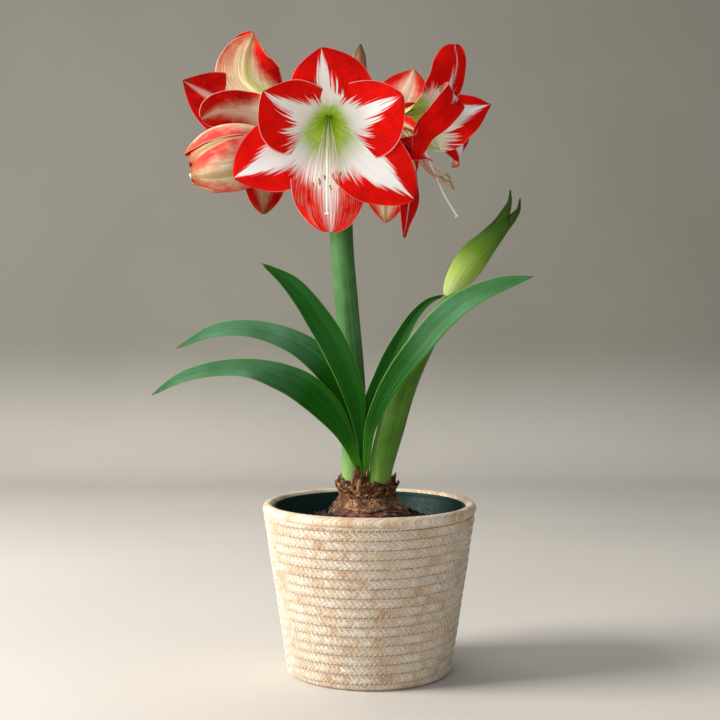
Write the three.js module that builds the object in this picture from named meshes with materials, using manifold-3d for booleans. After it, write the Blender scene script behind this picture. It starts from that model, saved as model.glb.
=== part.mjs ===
// Amaryllis in a pot: plaited basket, inner pot, soil, bulb, two scapes, five leaves and its blooms.
// Units are millimetres, +Z is up, and the origin is the middle of the basket's flat base.
import * as THREE from "three";
import Module from "manifold-3d";

const wasm = await Module();
wasm.setup();

// ---------- driving dimensions ----------
const CLEAR = 0.35; // gap between pieces that touch
const SLIVER = 0.12; // detail under this is merged where solids are joined

const BASKET_HEIGHT = 152;
const BASKET_BASE_R = 71.5;
const BASKET_RIM_R = 91; // middle of the rolled rim
const RIM_ROLL = 4.8;
const BASKET_ROWS = 17;
const ROW_BULGE = 1.6;
const BASKET_FLOOR = 5;
const POT_SIDES = 24; // the basket, pot and soil share their sides, so their gaps stay even

const POT_TOP = 149.4;
const POT_WALL = 1.4;

const RIM_LEAN = 0.033; // the hand-made rim dips to the front and rises at the back
const SOIL_AT_WALL = 127.5;
const SOIL_AT_BULB = 143;
const SOIL_EDGE = 38.7;

const NECK_SHIFT = -2.5; // the bulb's neck leans a little to the left
const CUP_FLOOR = 159;
const BULB_SIDES = 20;

const STEM_R = 10.8;
const UMBEL = [-25, 18, 462];
const PEDICEL_R = 3.6;
const OVARY_R = 5.2;
const OVARY_LENGTH = 17;

const TEPAL_THICK = 1.0;
const TUBE_R = 4.4;
const INNER_STEP = 1.2; // inner tepals start this much nearer the axis
const LEAF_THICK = 1.8;
const FILAMENT_R = 0.65;

// opening angles of a tepal from the bloom's axis, base to tip, in degrees
const OPEN_FLARE = [10, 22, 45, 66, 80, 92];
const SHUT_FLARE = [12, 30, 26, 6, -22, -48];
const FLARE_AT = [0, 0.2, 0.4, 0.6, 0.8, 1];
// cross curvature of a tepal past its tube, per millimetre, base to tip
const OPEN_CUP = [0.02, 0.01, 0.004, -0.006, -0.01];
const SHUT_CUP = [0.05, 0.036, 0.036, 0.04, 0.06];
const CUP_AT = [0.25, 0.45, 0.65, 0.85, 1];
const CLAW_CURL = 0.1; // cross curvature near the root of a tepal that follows its own line

// blooms: base of the tube, axis, and tepals as [azimuth, length, half width, flare factor, extras];
// a tepal with a line runs through places measured from its bloom's base, its inner face turned to faces
const FRONT = {
  name: "front",
  base: [-36.5, 0, 498],
  axis: [0, -0.92, -0.4],
  outer: [
    [93, 110, 30, 0.8, { left: 1.4, right: 0.95 }],
    [207, 118, 31, 1.1],
    [-38, 124, 32, 1.05],
  ],
  inner: [
    [143, 108, 33, 0.7, { left: 0.8, right: 1.2 }],
    [29, 110, 34, 0.8, { left: 1.2, right: 0.8 }],
    [-89, 118, 33, 1.1, { point: 0.5 }],
  ],
};
const LEFT = {
  name: "left",
  base: [-75, 33, 498],
  axis: [-0.45, 0.88, 0.1],
  outer: [
    [83, 108, 31, 1, {
      point: 1,
      line: [[-2.2, 0.7, 4.2], [-16, 15, 22], [-30, 27, 38], [-40, 33, 52], [-41, 33, 72], [-34, 25, 91]],
      faces: [[-0.2, 0.5, -0.8], [-0.1, 0.8, -0.5], [0, 1, -0.1], [0.1, 0.9, 0.3]],
    }],
    [-5, 100, 19, 1, {
      point: 0.5,
      line: [[-4.6, 0.1, 0.4], [-15, 3, 7], [-30, 5, 11], [-47, 1, 12], [-64, -7, 10], [-79, -17, 1]],
      faces: [[-0.3, 0.6, 0.7], [-0.1, 0.95, 0.2], [-0.3, 0.9, 0.2]],
    }],
    [205, 112, 28, 1],
  ],
  inner: [
    [25, 122, 30, 1, { point: 1.1 }],
    [78, 118, 19, 1, {
      line: [[-2, 7, 6], [-17, 23, 29], [-31, 41, 48], [-40, 49, 66], [-44, 49, 83], [-37, 43, 98]],
      faces: [[-0.2, 0.5, -0.8], [0, 1, -0.1], [0.1, 0.9, 0.3]],
    }],
    [-90, 108, 24, 1.08],
  ],
};
const RIGHT = {
  name: "right",
  base: [14, 28, 500],
  axis: [0.85, -0.42, -0.3],
  outer: [
    [95, 112, 25, 1, {
      right: 0.45,
      point: 0.4,
      peak: 0.62,
      line: [[1.6, -1.6, 3.6], [21, -10, 6], [44, -19, 10], [58, -26, 24], [64, -31, 44], [63, -30, 63]],
      faces: [[0.3, -0.3, -0.9], [0.35, -0.5, -0.7], [0.4, -0.9, -0.2], [0.35, -0.93, 0.1]],
    }],
    [-25, 105, 14, 1, {
      line: [[2, 2, -3], [28, -4, -8], [49, -8, -15], [66, -4, -20], [70, 6, -31], [63, 14, -41]],
      faces: [[-0.2, -0.6, 0.7], [-0.3, -0.8, 0.3], [0.5, -0.6, -0.3], [0.2, 0.9, -0.3]],
    }],
    [205, 100, 18, 1, {
      line: [[-0.5, -3.8, -3], [15, -23, -8], [28, -42, -19], [25, -50, -38], [16, -54, -37], [9, -50, -31]],
      faces: [[0.2, 0.8, 0.5], [0.5, 0.2, 0.8], [-0.1, -0.9, 0.3]],
    }],
  ],
  inner: [
    [150, 150, 12.5, 1, {
      point: 0.6,
      line: [[-0.2, -4.9, -0.6], [26, -14, 6], [54, -28, 17], [62, -42, 14], [49, -56, -6], [34, -60, -22],
        [27, -62, -46]],
      faces: [[0.2, 0.9, 0.2], [0.3, 0.7, 0.5], [0.75, -0.1, 0.6], [0.2, -0.95, 0.2], [0, -1, -0.1]],
    }],
    [30, 112, 30, 1, {
      left: 0.75,
      right: 0.95,
      point: 1.1,
      peak: 0.42,
      line: [[2.8, 2.2, 0.8], [28, -4, 0], [49, -10, -2], [67, -12, 4], [84, -8, 10], [99, -2, 15]],
      faces: [[-0.3, -0.5, -0.8], [-0.3, -0.9, -0.2], [0.1, -0.99, 0.1], [0.3, -0.9, 0.3]],
    }],
    [-92, 120, 14, 1, {
      point: 0.5,
      line: [[0, -1, -4.4], [14, -9, -20], [20, -24, -42], [23, -36, -65], [20, -42, -90], [16, -44, -113]],
      faces: [[0.3, -0.2, 0.9], [0.7, -0.3, 0.6], [0.88, -0.47, 0.1], [0.85, -0.52, 0]],
    }],
  ],
};
const BACK = {
  name: "back",
  base: [3, 45, 485],
  axis: [0.3, 0.95, 0.1],
  outer: [
    [107, 112, 31, 0.83],
    [-30, 112, 28, 0.85],
    [245, 80, 24, 0.5],
  ],
  inner: [
    [-82, 112, 25, 0.86],
    [66, 100, 26, 0.86],
    [148, 85, 24, 0.8],
  ],
};
const OPENING = {
  name: "opening",
  base: [-60, 10, 479],
  axis: [-0.95, -0.15, -0.28],
  flare: SHUT_FLARE,
  cup: SHUT_CUP,
  outer: [
    [90, 118, 29, 1, { point: 0.55 }],
    [210, 118, 29, 1, { point: 0.55 }],
    [-30, 118, 29, 1, { point: 0.55 }],
  ],
  inner: [[150, 115, 25, 0.96], [30, 115, 25, 0.96], [-90, 117, 25, 0.96]],
};
const BLOOMS = [FRONT, LEFT, RIGHT, BACK, OPENING];

// stamens of a bloom: spread in degrees about straight down, length, style and opening angles
const HANGING = [4, 10, 20, 32, 34, 10];
const STAMENS = {
  front: { spread: 15, length: 86, style: 117, flare: [3, 9, 27, 48, 60, 56] },
  left: { spread: 22, length: 84, style: 100, flare: HANGING },
  right: { spread: 20, length: 94, style: 118, flare: [4, 14, 48, 50, 24, 0],
    styleFlare: [4, 14, 46, 51, 44, 37] },
  back: { spread: 22, length: 84, style: 100, flare: HANGING },
  opening: { spread: 40, length: 82, style: 104, flare: [2, 4, 4, 4, 2, 0] },
};

// small shut bud
const BUD_BASE = [-16, 52, 509];
const BUD_TIP = [-8, 52, 577];
const BUD_R = 9.6;

// scapes and leaves, base to tip
const SCAPE_TALL = [[-12.6, 3, 159.6], [-12.6, 3, 163], [-14.4, 3, 175], [-14, 4, 198], [-14, 7, 248],
  [-21, 9, 333], [-24.8, 12, 379], [-26, 15, 425], [-25, 18, 458]];
const SCAPE_SHORT = [[9.1, 3, 160], [9.1, 3, 163.5], [10, 3, 175], [12, 3, 189], [19, 4, 216],
  [31, 5, 256], [46, 5, 288], [61, 6, 314], [79, 7, 338]];
const SPATHE = [[72, 7, 336], [78, 7, 348.7], [87, 8, 362], [97, 8, 375.5], [107, 8, 386.5], [117, 8, 398],
  [124.5, 8, 408]];
const SPATHE_R = [6.5, 10.6, 13.7, 13.5, 10.4, 8.5, 6.9];
const SPATHE_TIPS = [[[116, 6, 402], [123, 5, 412.5], [126.7, 4.5, 422], [127.2, 4, 432.8]],
  [[121, 9.5, 397], [129.5, 10, 407.8], [135.3, 10.5, 415.4], [137, 11, 426]]];
const SPATHE_TIP_R = [4.6, 4.2, 2, 0.7];

const LEAVES = [
  {
    name: "leaf_1",
    line: [[-6.5, -13, 159.4], [-7, -13.4, 176], [-8, -15.2, 208], [-14, -19, 248], [-27, -23, 282],
      [-42, -25, 309], [-68, -27, 344], [-95, -27, 364]],
    half: [2.2, 2.2, 3.4, 9.8, 12, 12, 8.5, 0.9],
    tilt: 20,
    channel: 0.22,
  },
  {
    name: "leaf_2",
    line: [[-7.5, -9.3, 159.4], [-8, -9.4, 176], [-13, -9.5, 216], [-28, -11, 258], [-53, -14, 285],
      [-77, -18, 298], [-108, -22, 306], [-137, -25, 304], [-170, -28, 289]],
    half: [2.2, 2.2, 6.5, 12.5, 12.5, 11.6, 9.2, 7.5, 0.9],
    tilt: 35,
    channel: 0.2,
  },
  {
    name: "leaf_3",
    line: [[-6.5, -16.5, 159.8], [-8, -17.3, 176], [-20, -22, 209], [-35, -28, 233], [-57, -35, 253],
      [-83, -41, 265], [-108, -45, 271], [-136, -48, 270], [-162, -53, 263], [-186, -58, 249]],
    half: [2.2, 2.2, 6.4, 12, 15, 14, 11, 9, 6.5, 0.9],
    tilt: 45,
    channel: 0.18,
  },
  {
    name: "leaf_4",
    line: [[-3, -11.3, 159.6], [-3, -11.4, 176], [-4, -12.9, 217], [1, -15.2, 243], [10, -15.5, 262],
      [19, -15, 281], [28.5, -13, 300], [39.5, -10, 318], [52.5, -9, 331], [66.5, -9, 337]],
    half: [2, 2, 3.2, 5.6, 7.5, 8, 6, 4.5, 3, 0.9],
    tilt: 0,
    channel: 0.4,
  },
  {
    name: "leaf_5",
    line: [[-3.5, -14.8, 159.4], [-3, -15.4, 176], [0.2, -18.6, 217], [11.5, -22, 246], [26, -25, 269],
      [42.5, -27.5, 290], [60, -31, 311], [77, -34, 326], [96, -37, 337], [117, -41, 345], [141, -46, 351]],
    half: [2, 2, 5, 7.4, 9.6, 11, 11.5, 11.3, 9.6, 7.4, 0.9],
    tilt: 30,
    channel: 0.2,
  },
];

// ---------- small helpers ----------
const vec = (p) => new THREE.Vector3(p[0], p[1], p[2]);
const rad = THREE.MathUtils.degToRad;
const range = (n) => Array.from({ length: n }, (_, i) => i);

/** Value of a piecewise straight line through knots. */
function between(x, at, values) {
  if (x <= at[0]) return values[0];
  for (let i = 1; i < at.length; i += 1) {
    if (x <= at[i]) {
      const f = (x - at[i - 1]) / (at[i] - at[i - 1]);
      return values[i - 1] + f * (values[i] - values[i - 1]);
    }
  }
  return values[values.length - 1];
}

/** Manifold solid from vertices and triangles, turned to face out. */
function solid(points, triangles) {
  const vertProperties = new Float32Array(points.flatMap((p) => [p.x, p.y, p.z]));
  let volume = 0;
  for (const [a, b, c] of triangles) {
    volume += points[a].dot(new THREE.Vector3().crossVectors(points[b], points[c]));
  }
  const out = volume > 0 ? triangles : triangles.map(([a, b, c]) => [a, c, b]);
  const triVerts = new Uint32Array(out.flat());
  return new wasm.Manifold(new wasm.Mesh({ numProp: 3, vertProperties, triVerts }));
}

/** Closed ring surface: rows of points round a path, with a middle point at each end. */
function ringSolid(rings, first, last) {
  const sides = rings[0].length;
  const points = rings.flat();
  const start = points.push(first) - 1;
  const end = points.push(last) - 1;
  const triangles = [];
  for (let j = 0; j < sides; j += 1) {
    const k = (j + 1) % sides;
    triangles.push([start, k, j]);
    for (let i = 0; i + 1 < rings.length; i += 1) {
      const a = i * sides;
      const b = a + sides;
      triangles.push([a + j, a + k, b + k], [a + j, b + k, b + j]);
    }
    const z = (rings.length - 1) * sides;
    triangles.push([z + j, z + k, end]);
  }
  return solid(points, triangles);
}

/** Closed blade between two grids of the same size, split alike on both faces. */
function bladeSolid(face, back) {
  const rows = face.length;
  const cols = face[0].length;
  const points = [...face.flat(), ...back.flat()];
  const off = rows * cols;
  const at = (i, j) => i * cols + j;
  const triangles = [];
  for (let i = 0; i + 1 < rows; i += 1) {
    for (let j = 0; j + 1 < cols; j += 1) {
      const [a, b, c, d] = [at(i, j), at(i, j + 1), at(i + 1, j + 1), at(i + 1, j)];
      triangles.push([a, b, c], [a, c, d], [off + a, off + c, off + b], [off + a, off + d, off + c]);
    }
  }
  const edge = (a, b) => triangles.push([b, a, off + a], [b, off + a, off + b]);
  for (let j = 0; j + 1 < cols; j += 1) {
    edge(at(0, j), at(0, j + 1));
    edge(at(rows - 1, j + 1), at(rows - 1, j));
  }
  for (let i = 0; i + 1 < rows; i += 1) {
    edge(at(i + 1, 0), at(i, 0));
    edge(at(i, cols - 1), at(i + 1, cols - 1));
  }
  return solid(points, triangles);
}

/** Point moved so that the rim dips to the front and rises at the back, none at the base. */
function leaned(p, weight = 1) {
  p.z += ((RIM_LEAN * p.y * p.z) / BASKET_HEIGHT) * weight;
  return p;
}

/** Surface of revolution from [radius, height] points, from the axis round to the axis. */
function turned(profile, sides, shift = () => 0, place = (p) => p) {
  const rings = profile.slice(1, -1).map(([r, z]) => range(sides).map((j) => {
    const a = (2 * Math.PI * j) / sides;
    return place(new THREE.Vector3(shift(z) + r * Math.cos(a), r * Math.sin(a), z));
  }));
  const ends = [profile[0], profile[profile.length - 1]].map(([, z]) => vec([shift(z), 0, z]));
  return ringSolid(rings, ends[0], ends[1]);
}

/** Stem through points; radiusAt gives [across, along the reference] at 0..1. */
function stem(points, radiusAt, sides, steps, reference = [0, 1, 0]) {
  const curve = new THREE.CatmullRomCurve3(points.map(vec));
  const ref = vec(reference);
  const rings = range(steps + 1).map((i) => {
    const t = i / steps;
    const middle = curve.getPoint(t);
    const tangent = curve.getTangent(t);
    const across = new THREE.Vector3().crossVectors(tangent, ref).normalize();
    const up = new THREE.Vector3().crossVectors(across, tangent);
    const [ra, rb] = radiusAt(t);
    return range(sides).map((j) => {
      const a = (2 * Math.PI * j) / sides;
      return middle.clone().addScaledVector(across, ra * Math.cos(a)).addScaledVector(up, rb * Math.sin(a));
    });
  });
  return ringSolid(rings, curve.getPoint(0), curve.getPoint(1));
}

/** Union of solids as its one large body: sealed pockets are filled and slivers merged. */
function joined(solids) {
  const largest = (body) => body.decompose().sort((a, b) => b.volume() - a.volume())[0];
  const whole = solids.reduce((a, b) => a.add(b));
  return largest(largest(whole).simplify(SLIVER));
}

// ---------- basket, pot and soil ----------
const basketInner = (z) => 65.5 + (20.6 * (z - BASKET_FLOOR)) / (147 - BASKET_FLOOR);
const potOuter = (z) => basketInner(z) - CLEAR;
const potInner = (z) => potOuter(z) - POT_WALL;

function basket() {
  const rowTop = BASKET_HEIGHT - 2 * RIM_ROLL;
  const slope = (BASKET_RIM_R + RIM_ROLL - 2.4 - BASKET_BASE_R) / rowTop;
  const profile = [[0, 0], [BASKET_BASE_R - 3, 0]];
  for (let i = 0; i < 2 * BASKET_ROWS; i += 1) {
    const z = (rowTop * (i + 0.9)) / (2 * BASKET_ROWS);
    const crest = i % 2 === 0 ? ROW_BULGE : 0;
    profile.push([BASKET_BASE_R + slope * z + crest - 0.8, z]);
  }
  const middle = BASKET_HEIGHT - RIM_ROLL;
  for (const degrees of [-45, 0, 45, 90, 135, 175]) {
    const a = rad(degrees);
    profile.push([BASKET_RIM_R + RIM_ROLL * Math.cos(a), middle + RIM_ROLL * Math.sin(a)]);
  }
  profile.push([basketInner(middle), middle], [basketInner(BASKET_FLOOR), BASKET_FLOOR]);
  profile.push([0, BASKET_FLOOR]);
  return turned(profile, POT_SIDES, () => 0, leaned);
}

function innerPot() {
  const floor = BASKET_FLOOR + CLEAR;
  const inside = floor + 1.6;
  return turned([
    [0, floor],
    [potOuter(BASKET_FLOOR) - 1, floor],
    [potOuter(floor + 2) - 0.1, floor + 2],
    [potOuter(POT_TOP - 3) - 0.1, POT_TOP - 3],
    [potOuter(POT_TOP - 3) - 0.1, POT_TOP - 0.6],
    [potOuter(POT_TOP - 3) - 0.6, POT_TOP],
    [potInner(POT_TOP - 3) + 0.2, POT_TOP],
    [potInner(POT_TOP - 3), POT_TOP - 1],
    [potInner(inside), inside],
    [0, inside],
  ], POT_SIDES, () => 0, leaned);
}

/** Bulb outline below the neck as [radius, height]. */
const BULB_BODY = [[14, 66], [18, 71], [34, 84], [43, 98], [46.5, 112], [45.2, 124],
  [41.8, 134], [37.2, 142], [30.5, 149], [25.4, 154]];

function soil() {
  const floor = BASKET_FLOOR + CLEAR + 1.6 + CLEAR;
  const wall = (z) => potInner(z) - CLEAR - 0.15;
  const low = [[0, floor], [wall(floor), floor], [wall(SOIL_AT_WALL), SOIL_AT_WALL]];
  const bands = 5;
  const top = range(bands).map((i) => {
    const f = (i + 1) / bands;
    const r = wall(SOIL_AT_WALL) + f * (SOIL_EDGE - wall(SOIL_AT_WALL));
    return [r, SOIL_AT_WALL + (SOIL_AT_BULB - 6 - SOIL_AT_WALL) * f + 6 * f * f, true];
  });
  const hole = BULB_BODY.filter(([, z]) => z < 138).reverse();
  const socket = hole.map(([r, z]) => [r + CLEAR + 0.45, z - 0.3]);
  const rows = [...low.slice(1), ...top, ...socket];
  const rings = rows.map(([r, z, crumbs]) => range(POT_SIDES).map((j) => {
    const a = (2 * Math.PI * j) / POT_SIDES;
    const lump = crumbs ? 1.3 * Math.sin(5 * a + r * 0.31) * Math.sin(9 * a - r * 0.43)
      + 0.8 * Math.sin(17 * a + r * 1.7) : 0;
    const weight = THREE.MathUtils.smoothstep(r, 48, 64);
    return leaned(new THREE.Vector3(r * Math.cos(a), r * Math.sin(a), z + lump), weight);
  }));
  return ringSolid(rings, vec([0, 0, floor]), vec([0, 0, 66 - CLEAR]));
}

// ---------- bulb ----------
const neckShift = (z) => NECK_SHIFT * THREE.MathUtils.smoothstep(z, 138, 158);

function bulb() {
  const body = turned([[0, 66], ...BULB_BODY, [23.2, 157.5], [23.4, 160.5], [0, 160.5]],
    BULB_SIDES, neckShift);
  const skin = [[22.6, 158.6], [23.4, 160.5], [25, 165], [26.3, 170], [26.6, 173.5],
    [25.4, 173.5], [25, 170], [23.8, 165], [22.1, 160.5], [21.8, CUP_FLOOR]];
  const rings = skin.map(([r, z]) => range(BULB_SIDES).map((j) => {
    const a = (2 * Math.PI * j) / BULB_SIDES;
    const torn = z > 173 ? 2.2 * Math.sin(3 * a + 1) + 1.4 * Math.sin(7 * a) - 1.2 : 0;
    return new THREE.Vector3(neckShift(z) + r * Math.cos(a), r * Math.sin(a), z + torn);
  }));
  const cup = turned([[0, CUP_FLOOR], [21.8, CUP_FLOOR], [23, 162.5], [0, 162.5]],
    BULB_SIDES, () => NECK_SHIFT);
  const collar = ringSolid(rings, vec([NECK_SHIFT, 0, 158.6]), vec([NECK_SHIFT, 0, CUP_FLOOR]));
  return body.subtract(cup).add(collar);
}

// ---------- scapes and leaves ----------
/** Axes of a bloom: right, top and along, as unit vectors. */
function bloomAxes(bloom) {
  const along = vec(bloom.axis).normalize();
  const up = new THREE.Vector3(0, 0, 1);
  const top = up.addScaledVector(along, -along.z).normalize();
  return { along, top, right: new THREE.Vector3().crossVectors(top, along) };
}

function flowerStalk(base, along) {
  const end = base.clone().addScaledVector(along, -CLEAR - 0.1);
  const back = base.clone().addScaledVector(along, -OVARY_LENGTH - 8);
  const from = vec(UMBEL);
  const middle = from.clone().lerp(back, 0.55).add(new THREE.Vector3(0, 0, 6));
  const line = [from, middle, back, end].map((p) => p.toArray());
  const radiusAt = (t) => {
    const r = between(t, [0, 0.55, 0.72, 0.8, 0.9, 1], [4.4, PEDICEL_R, 4.2, OVARY_R, OVARY_R, 4]);
    return [r, r];
  };
  return stem(line, radiusAt, 6, 7, [0.6, 0.2, -0.77]);
}

function bract(line) {
  return stem(line, (t) => [between(t, [0, 0.4, 1], [5, 7, 1]), 0.7], 4, 5, [0, 0, 1]);
}

function scapeTall() {
  const radiusAt = (t) => {
    const r = between(t, [0, 0.05, 0.9, 1], [9, STEM_R, STEM_R - 0.3, STEM_R + 0.6]);
    return [r, r * 0.9];
  };
  const parts = [stem(SCAPE_TALL, radiusAt, 10, 12)];
  parts.push(stem([[-25, 18, 452], [-25, 18, 458], [-25, 18, 466]],
    (t) => [between(t, [0, 0.5, 1], [9, 11, 6]), between(t, [0, 0.5, 1], [8, 10, 6])], 10, 3));
  for (const bloom of BLOOMS) {
    parts.push(flowerStalk(vec(bloom.base), bloomAxes(bloom).along));
  }
  parts.push(flowerStalk(vec(BUD_BASE), vec(BUD_TIP).sub(vec(BUD_BASE)).normalize()));
  parts.push(bract([[-30, 20, 458], [-34, 34, 459], [-38, 52, 450], [-40, 66, 432]]));
  parts.push(bract([[-20, 20, 458], [-17, 34, 457], [-14, 50, 446], [-13, 60, 428]]));
  return joined(parts);
}

function scapeShort() {
  const radiusAt = (t) => {
    const r = between(t, [0, 0.07, 0.28, 0.42, 0.5, 0.62, 0.8, 1], [9.2, 10.4, 10, 11.6, 12.2, 12, 9.6, 7]);
    return [r, r * 0.9];
  };
  const knots = range(SPATHE_R.length).map((i) => i / (SPATHE_R.length - 1));
  const spatheAt = (t) => [between(t, knots, SPATHE_R), between(t, knots, SPATHE_R) * 0.72];
  const tipAt = (t) => between(t, [0, 1 / 3, 2 / 3, 1], SPATHE_TIP_R);
  const tips = SPATHE_TIPS.map((line) => stem(line, (t) => [tipAt(t), tipAt(t) * 0.6], 6, 6));
  return joined([stem(SCAPE_SHORT, radiusAt, 10, 9), stem(SPATHE, spatheAt, 10, 8), ...tips]);
}

function leaf({ line, half, tilt, channel }) {
  const curve = new THREE.CatmullRomCurve3(line.map(vec));
  const rows = 2 * line.length - 1;
  const columns = [-1, 0, 1];
  const face = [];
  const back = [];
  for (let i = 0; i < rows; i += 1) {
    const t = i / (rows - 1);
    const middle = curve.getPoint(t);
    const tangent = curve.getTangent(t);
    const lean = rad(tilt * THREE.MathUtils.smoothstep(t, 0.15, 0.7));
    const front = new THREE.Vector3(0, -Math.cos(lean), Math.sin(lean));
    const side = new THREE.Vector3().crossVectors(front, tangent).normalize();
    const normal = new THREE.Vector3().crossVectors(tangent, side).normalize();
    const h = between(t, range(half.length).map((k) => k / (half.length - 1)), half);
    const rise = channel * h * THREE.MathUtils.smoothstep(t, 0.12, 0.4);
    const rowFace = [];
    const rowBack = [];
    for (const q of columns) {
      const p = middle.clone().addScaledVector(side, h * q).addScaledVector(normal, rise * q * q);
      const thick = LEAF_THICK * between(t, [0, 0.12, 0.3, 0.8, 1], [0.65, 0.65, 1, 0.8, 0.5])
        * (1 - 0.4 * q * q) * 0.5;
      rowFace.push(p.clone().addScaledVector(normal, thick));
      rowBack.push(p.clone().addScaledVector(normal, -thick));
    }
    face.push(rowFace);
    back.push(rowBack);
  }
  return bladeSolid(face, back);
}

// ---------- blooms ----------
/** Midrib of a tepal in its own radial plane: [out, sideways, along] and opening angle. */
function midrib(length, flare, sway, start, steps = 48) {
  const angleAt = (s) => rad(between(s, FLARE_AT, flare));
  const direction = (s) => {
    const bend = rad(sway) * s * s;
    const a = angleAt(s);
    return new THREE.Vector3(Math.sin(a) * Math.cos(bend), Math.sin(bend), Math.cos(a) * Math.cos(bend));
  };
  const points = [new THREE.Vector3(start, 0, 0)];
  for (let i = 1; i <= steps; i += 1) {
    const step = direction((i - 1) / steps).add(direction(i / steps)).multiplyScalar(length / steps / 2);
    points.push(points[i - 1].clone().add(step));
  }
  const placeAt = (s) => {
    const i = Math.min(Math.floor(s * steps), steps - 1);
    return points[i].clone().lerp(points[i + 1], s * steps - i);
  };
  return { placeAt, direction: (s) => direction(s).normalize(), angleAt };
}

/** Share of the full half width at s, widest at the peak, with a longer point for a larger value. */
function outline(s, point, peak) {
  const rise = (point * peak) / (1 - peak);
  const top = peak ** rise * (1 - peak) ** point;
  const claw = between(s, [0, 0.16, 0.4], [1, 0.66, 1]);
  return (claw * (0.04 + 0.96 * s) ** rise * (1 - s) ** point) / top;
}

/** Middle line of a tepal in its bloom's even round: place, side, inner normal and curvature at s. */
function evenSpine(axes, base, [azimuth, length, , factor, extras = {}], start, flare, cup) {
  const path = midrib(length, flare.map((a) => a * factor), extras.sway ?? 0, start);
  const out = axes.right.clone().multiplyScalar(Math.cos(rad(azimuth)))
    .addScaledVector(axes.top, Math.sin(rad(azimuth)));
  const sideways = axes.top.clone().multiplyScalar(Math.cos(rad(azimuth)))
    .addScaledVector(axes.right, -Math.sin(rad(azimuth)));
  return (s) => {
    const p = path.placeAt(s);
    const middle = base.clone().addScaledVector(out, p.x).addScaledVector(sideways, p.y)
      .addScaledVector(axes.along, p.z);
    const a = path.angleAt(s);
    const normal = out.clone().multiplyScalar(-Math.cos(a)).addScaledVector(axes.along, Math.sin(a));
    const blend = THREE.MathUtils.smoothstep(s, 0.18, 0.35);
    const curl = (1 - blend) / Math.max(p.x, 3) + blend * between(s, CUP_AT, cup);
    return { middle, side: sideways, normal, curl };
  };
}

/** Middle line of a tepal through its own places, its inner face turned to the faces given. */
function freeSpine(base, { line, faces }, cup) {
  const curve = new THREE.CatmullRomCurve3(line.map((p) => vec(p).add(base)));
  const at = range(faces.length).map((k) => k / (faces.length - 1));
  return (s) => {
    const tangent = curve.getTangent(s);
    const hint = vec([0, 1, 2].map((k) => between(s, at, faces.map((f) => f[k]))));
    const side = new THREE.Vector3().crossVectors(tangent, hint).normalize();
    const normal = new THREE.Vector3().crossVectors(side, tangent);
    const blend = THREE.MathUtils.smoothstep(s, 0.18, 0.35);
    const curl = (1 - blend) * CLAW_CURL + blend * between(s, CUP_AT, cup);
    return { middle: curve.getPoint(s), side, normal, curl };
  };
}

function tepal(axes, base, shape, start, flare, cup) {
  const [, , halfWidth, , extras = {}] = shape;
  const spine = extras.line ? freeSpine(base, extras, OPEN_CUP)
    : evenSpine(axes, base, shape, start, flare, cup);
  const places = extras.line ? [0, 0.17, 0.34, 0.5, 0.66, 0.82, 0.98] : [0, 0.17, 0.36, 0.58, 0.8, 0.98];
  const face = [];
  const back = [];
  for (const s of places) {
    const { middle, side, normal, curl } = spine(s);
    const bend = Math.abs(curl) < 1e-6 ? 1e-6 : curl;
    const wide = halfWidth * outline(s, extras.point ?? 0.8, extras.peak ?? 0.6);
    const rowFace = [];
    const rowBack = [];
    for (const q of [-1, -0.35, 0.35, 1]) {
      const reach = wide * q * (q < 0 ? extras.left ?? 1 : extras.right ?? 1);
      const angle = THREE.MathUtils.clamp(bend * reach, -1.9, 1.9);
      const p = middle.clone().addScaledVector(side, Math.sin(angle) / bend)
        .addScaledVector(normal, (1 - Math.cos(angle)) / bend);
      const n = normal.clone().multiplyScalar(Math.cos(angle)).addScaledVector(side, -Math.sin(angle));
      rowFace.push(p.clone().addScaledVector(n, TEPAL_THICK / 2));
      rowBack.push(p.clone().addScaledVector(n, -TEPAL_THICK / 2));
    }
    face.push(rowFace);
    back.push(rowBack);
  }
  return bladeSolid(face, back);
}

/** Short closed cylinder along the bloom's axis. */
function disc(base, along, from, to, radius) {
  const line = [from, (from + to) / 2, to].map((d) => base.clone().addScaledVector(along, d).toArray());
  return stem(line, () => [radius, radius], 8, 2, [0.3, 0.2, 0.93]);
}

function bloomSolid(bloom) {
  const axes = bloomAxes(bloom);
  const base = vec(bloom.base);
  const flare = bloom.flare ?? OPEN_FLARE;
  const cup = bloom.cup ?? OPEN_CUP;
  const parts = [disc(base, axes.along, 0, 2.4, TUBE_R + 0.3)];
  for (const shape of bloom.outer) {
    parts.push(tepal(axes, base, shape, TUBE_R, flare, cup));
  }
  for (const shape of bloom.inner) {
    parts.push(tepal(axes, base, shape, TUBE_R - INNER_STEP, flare, cup));
  }
  return joined(parts);
}

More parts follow.
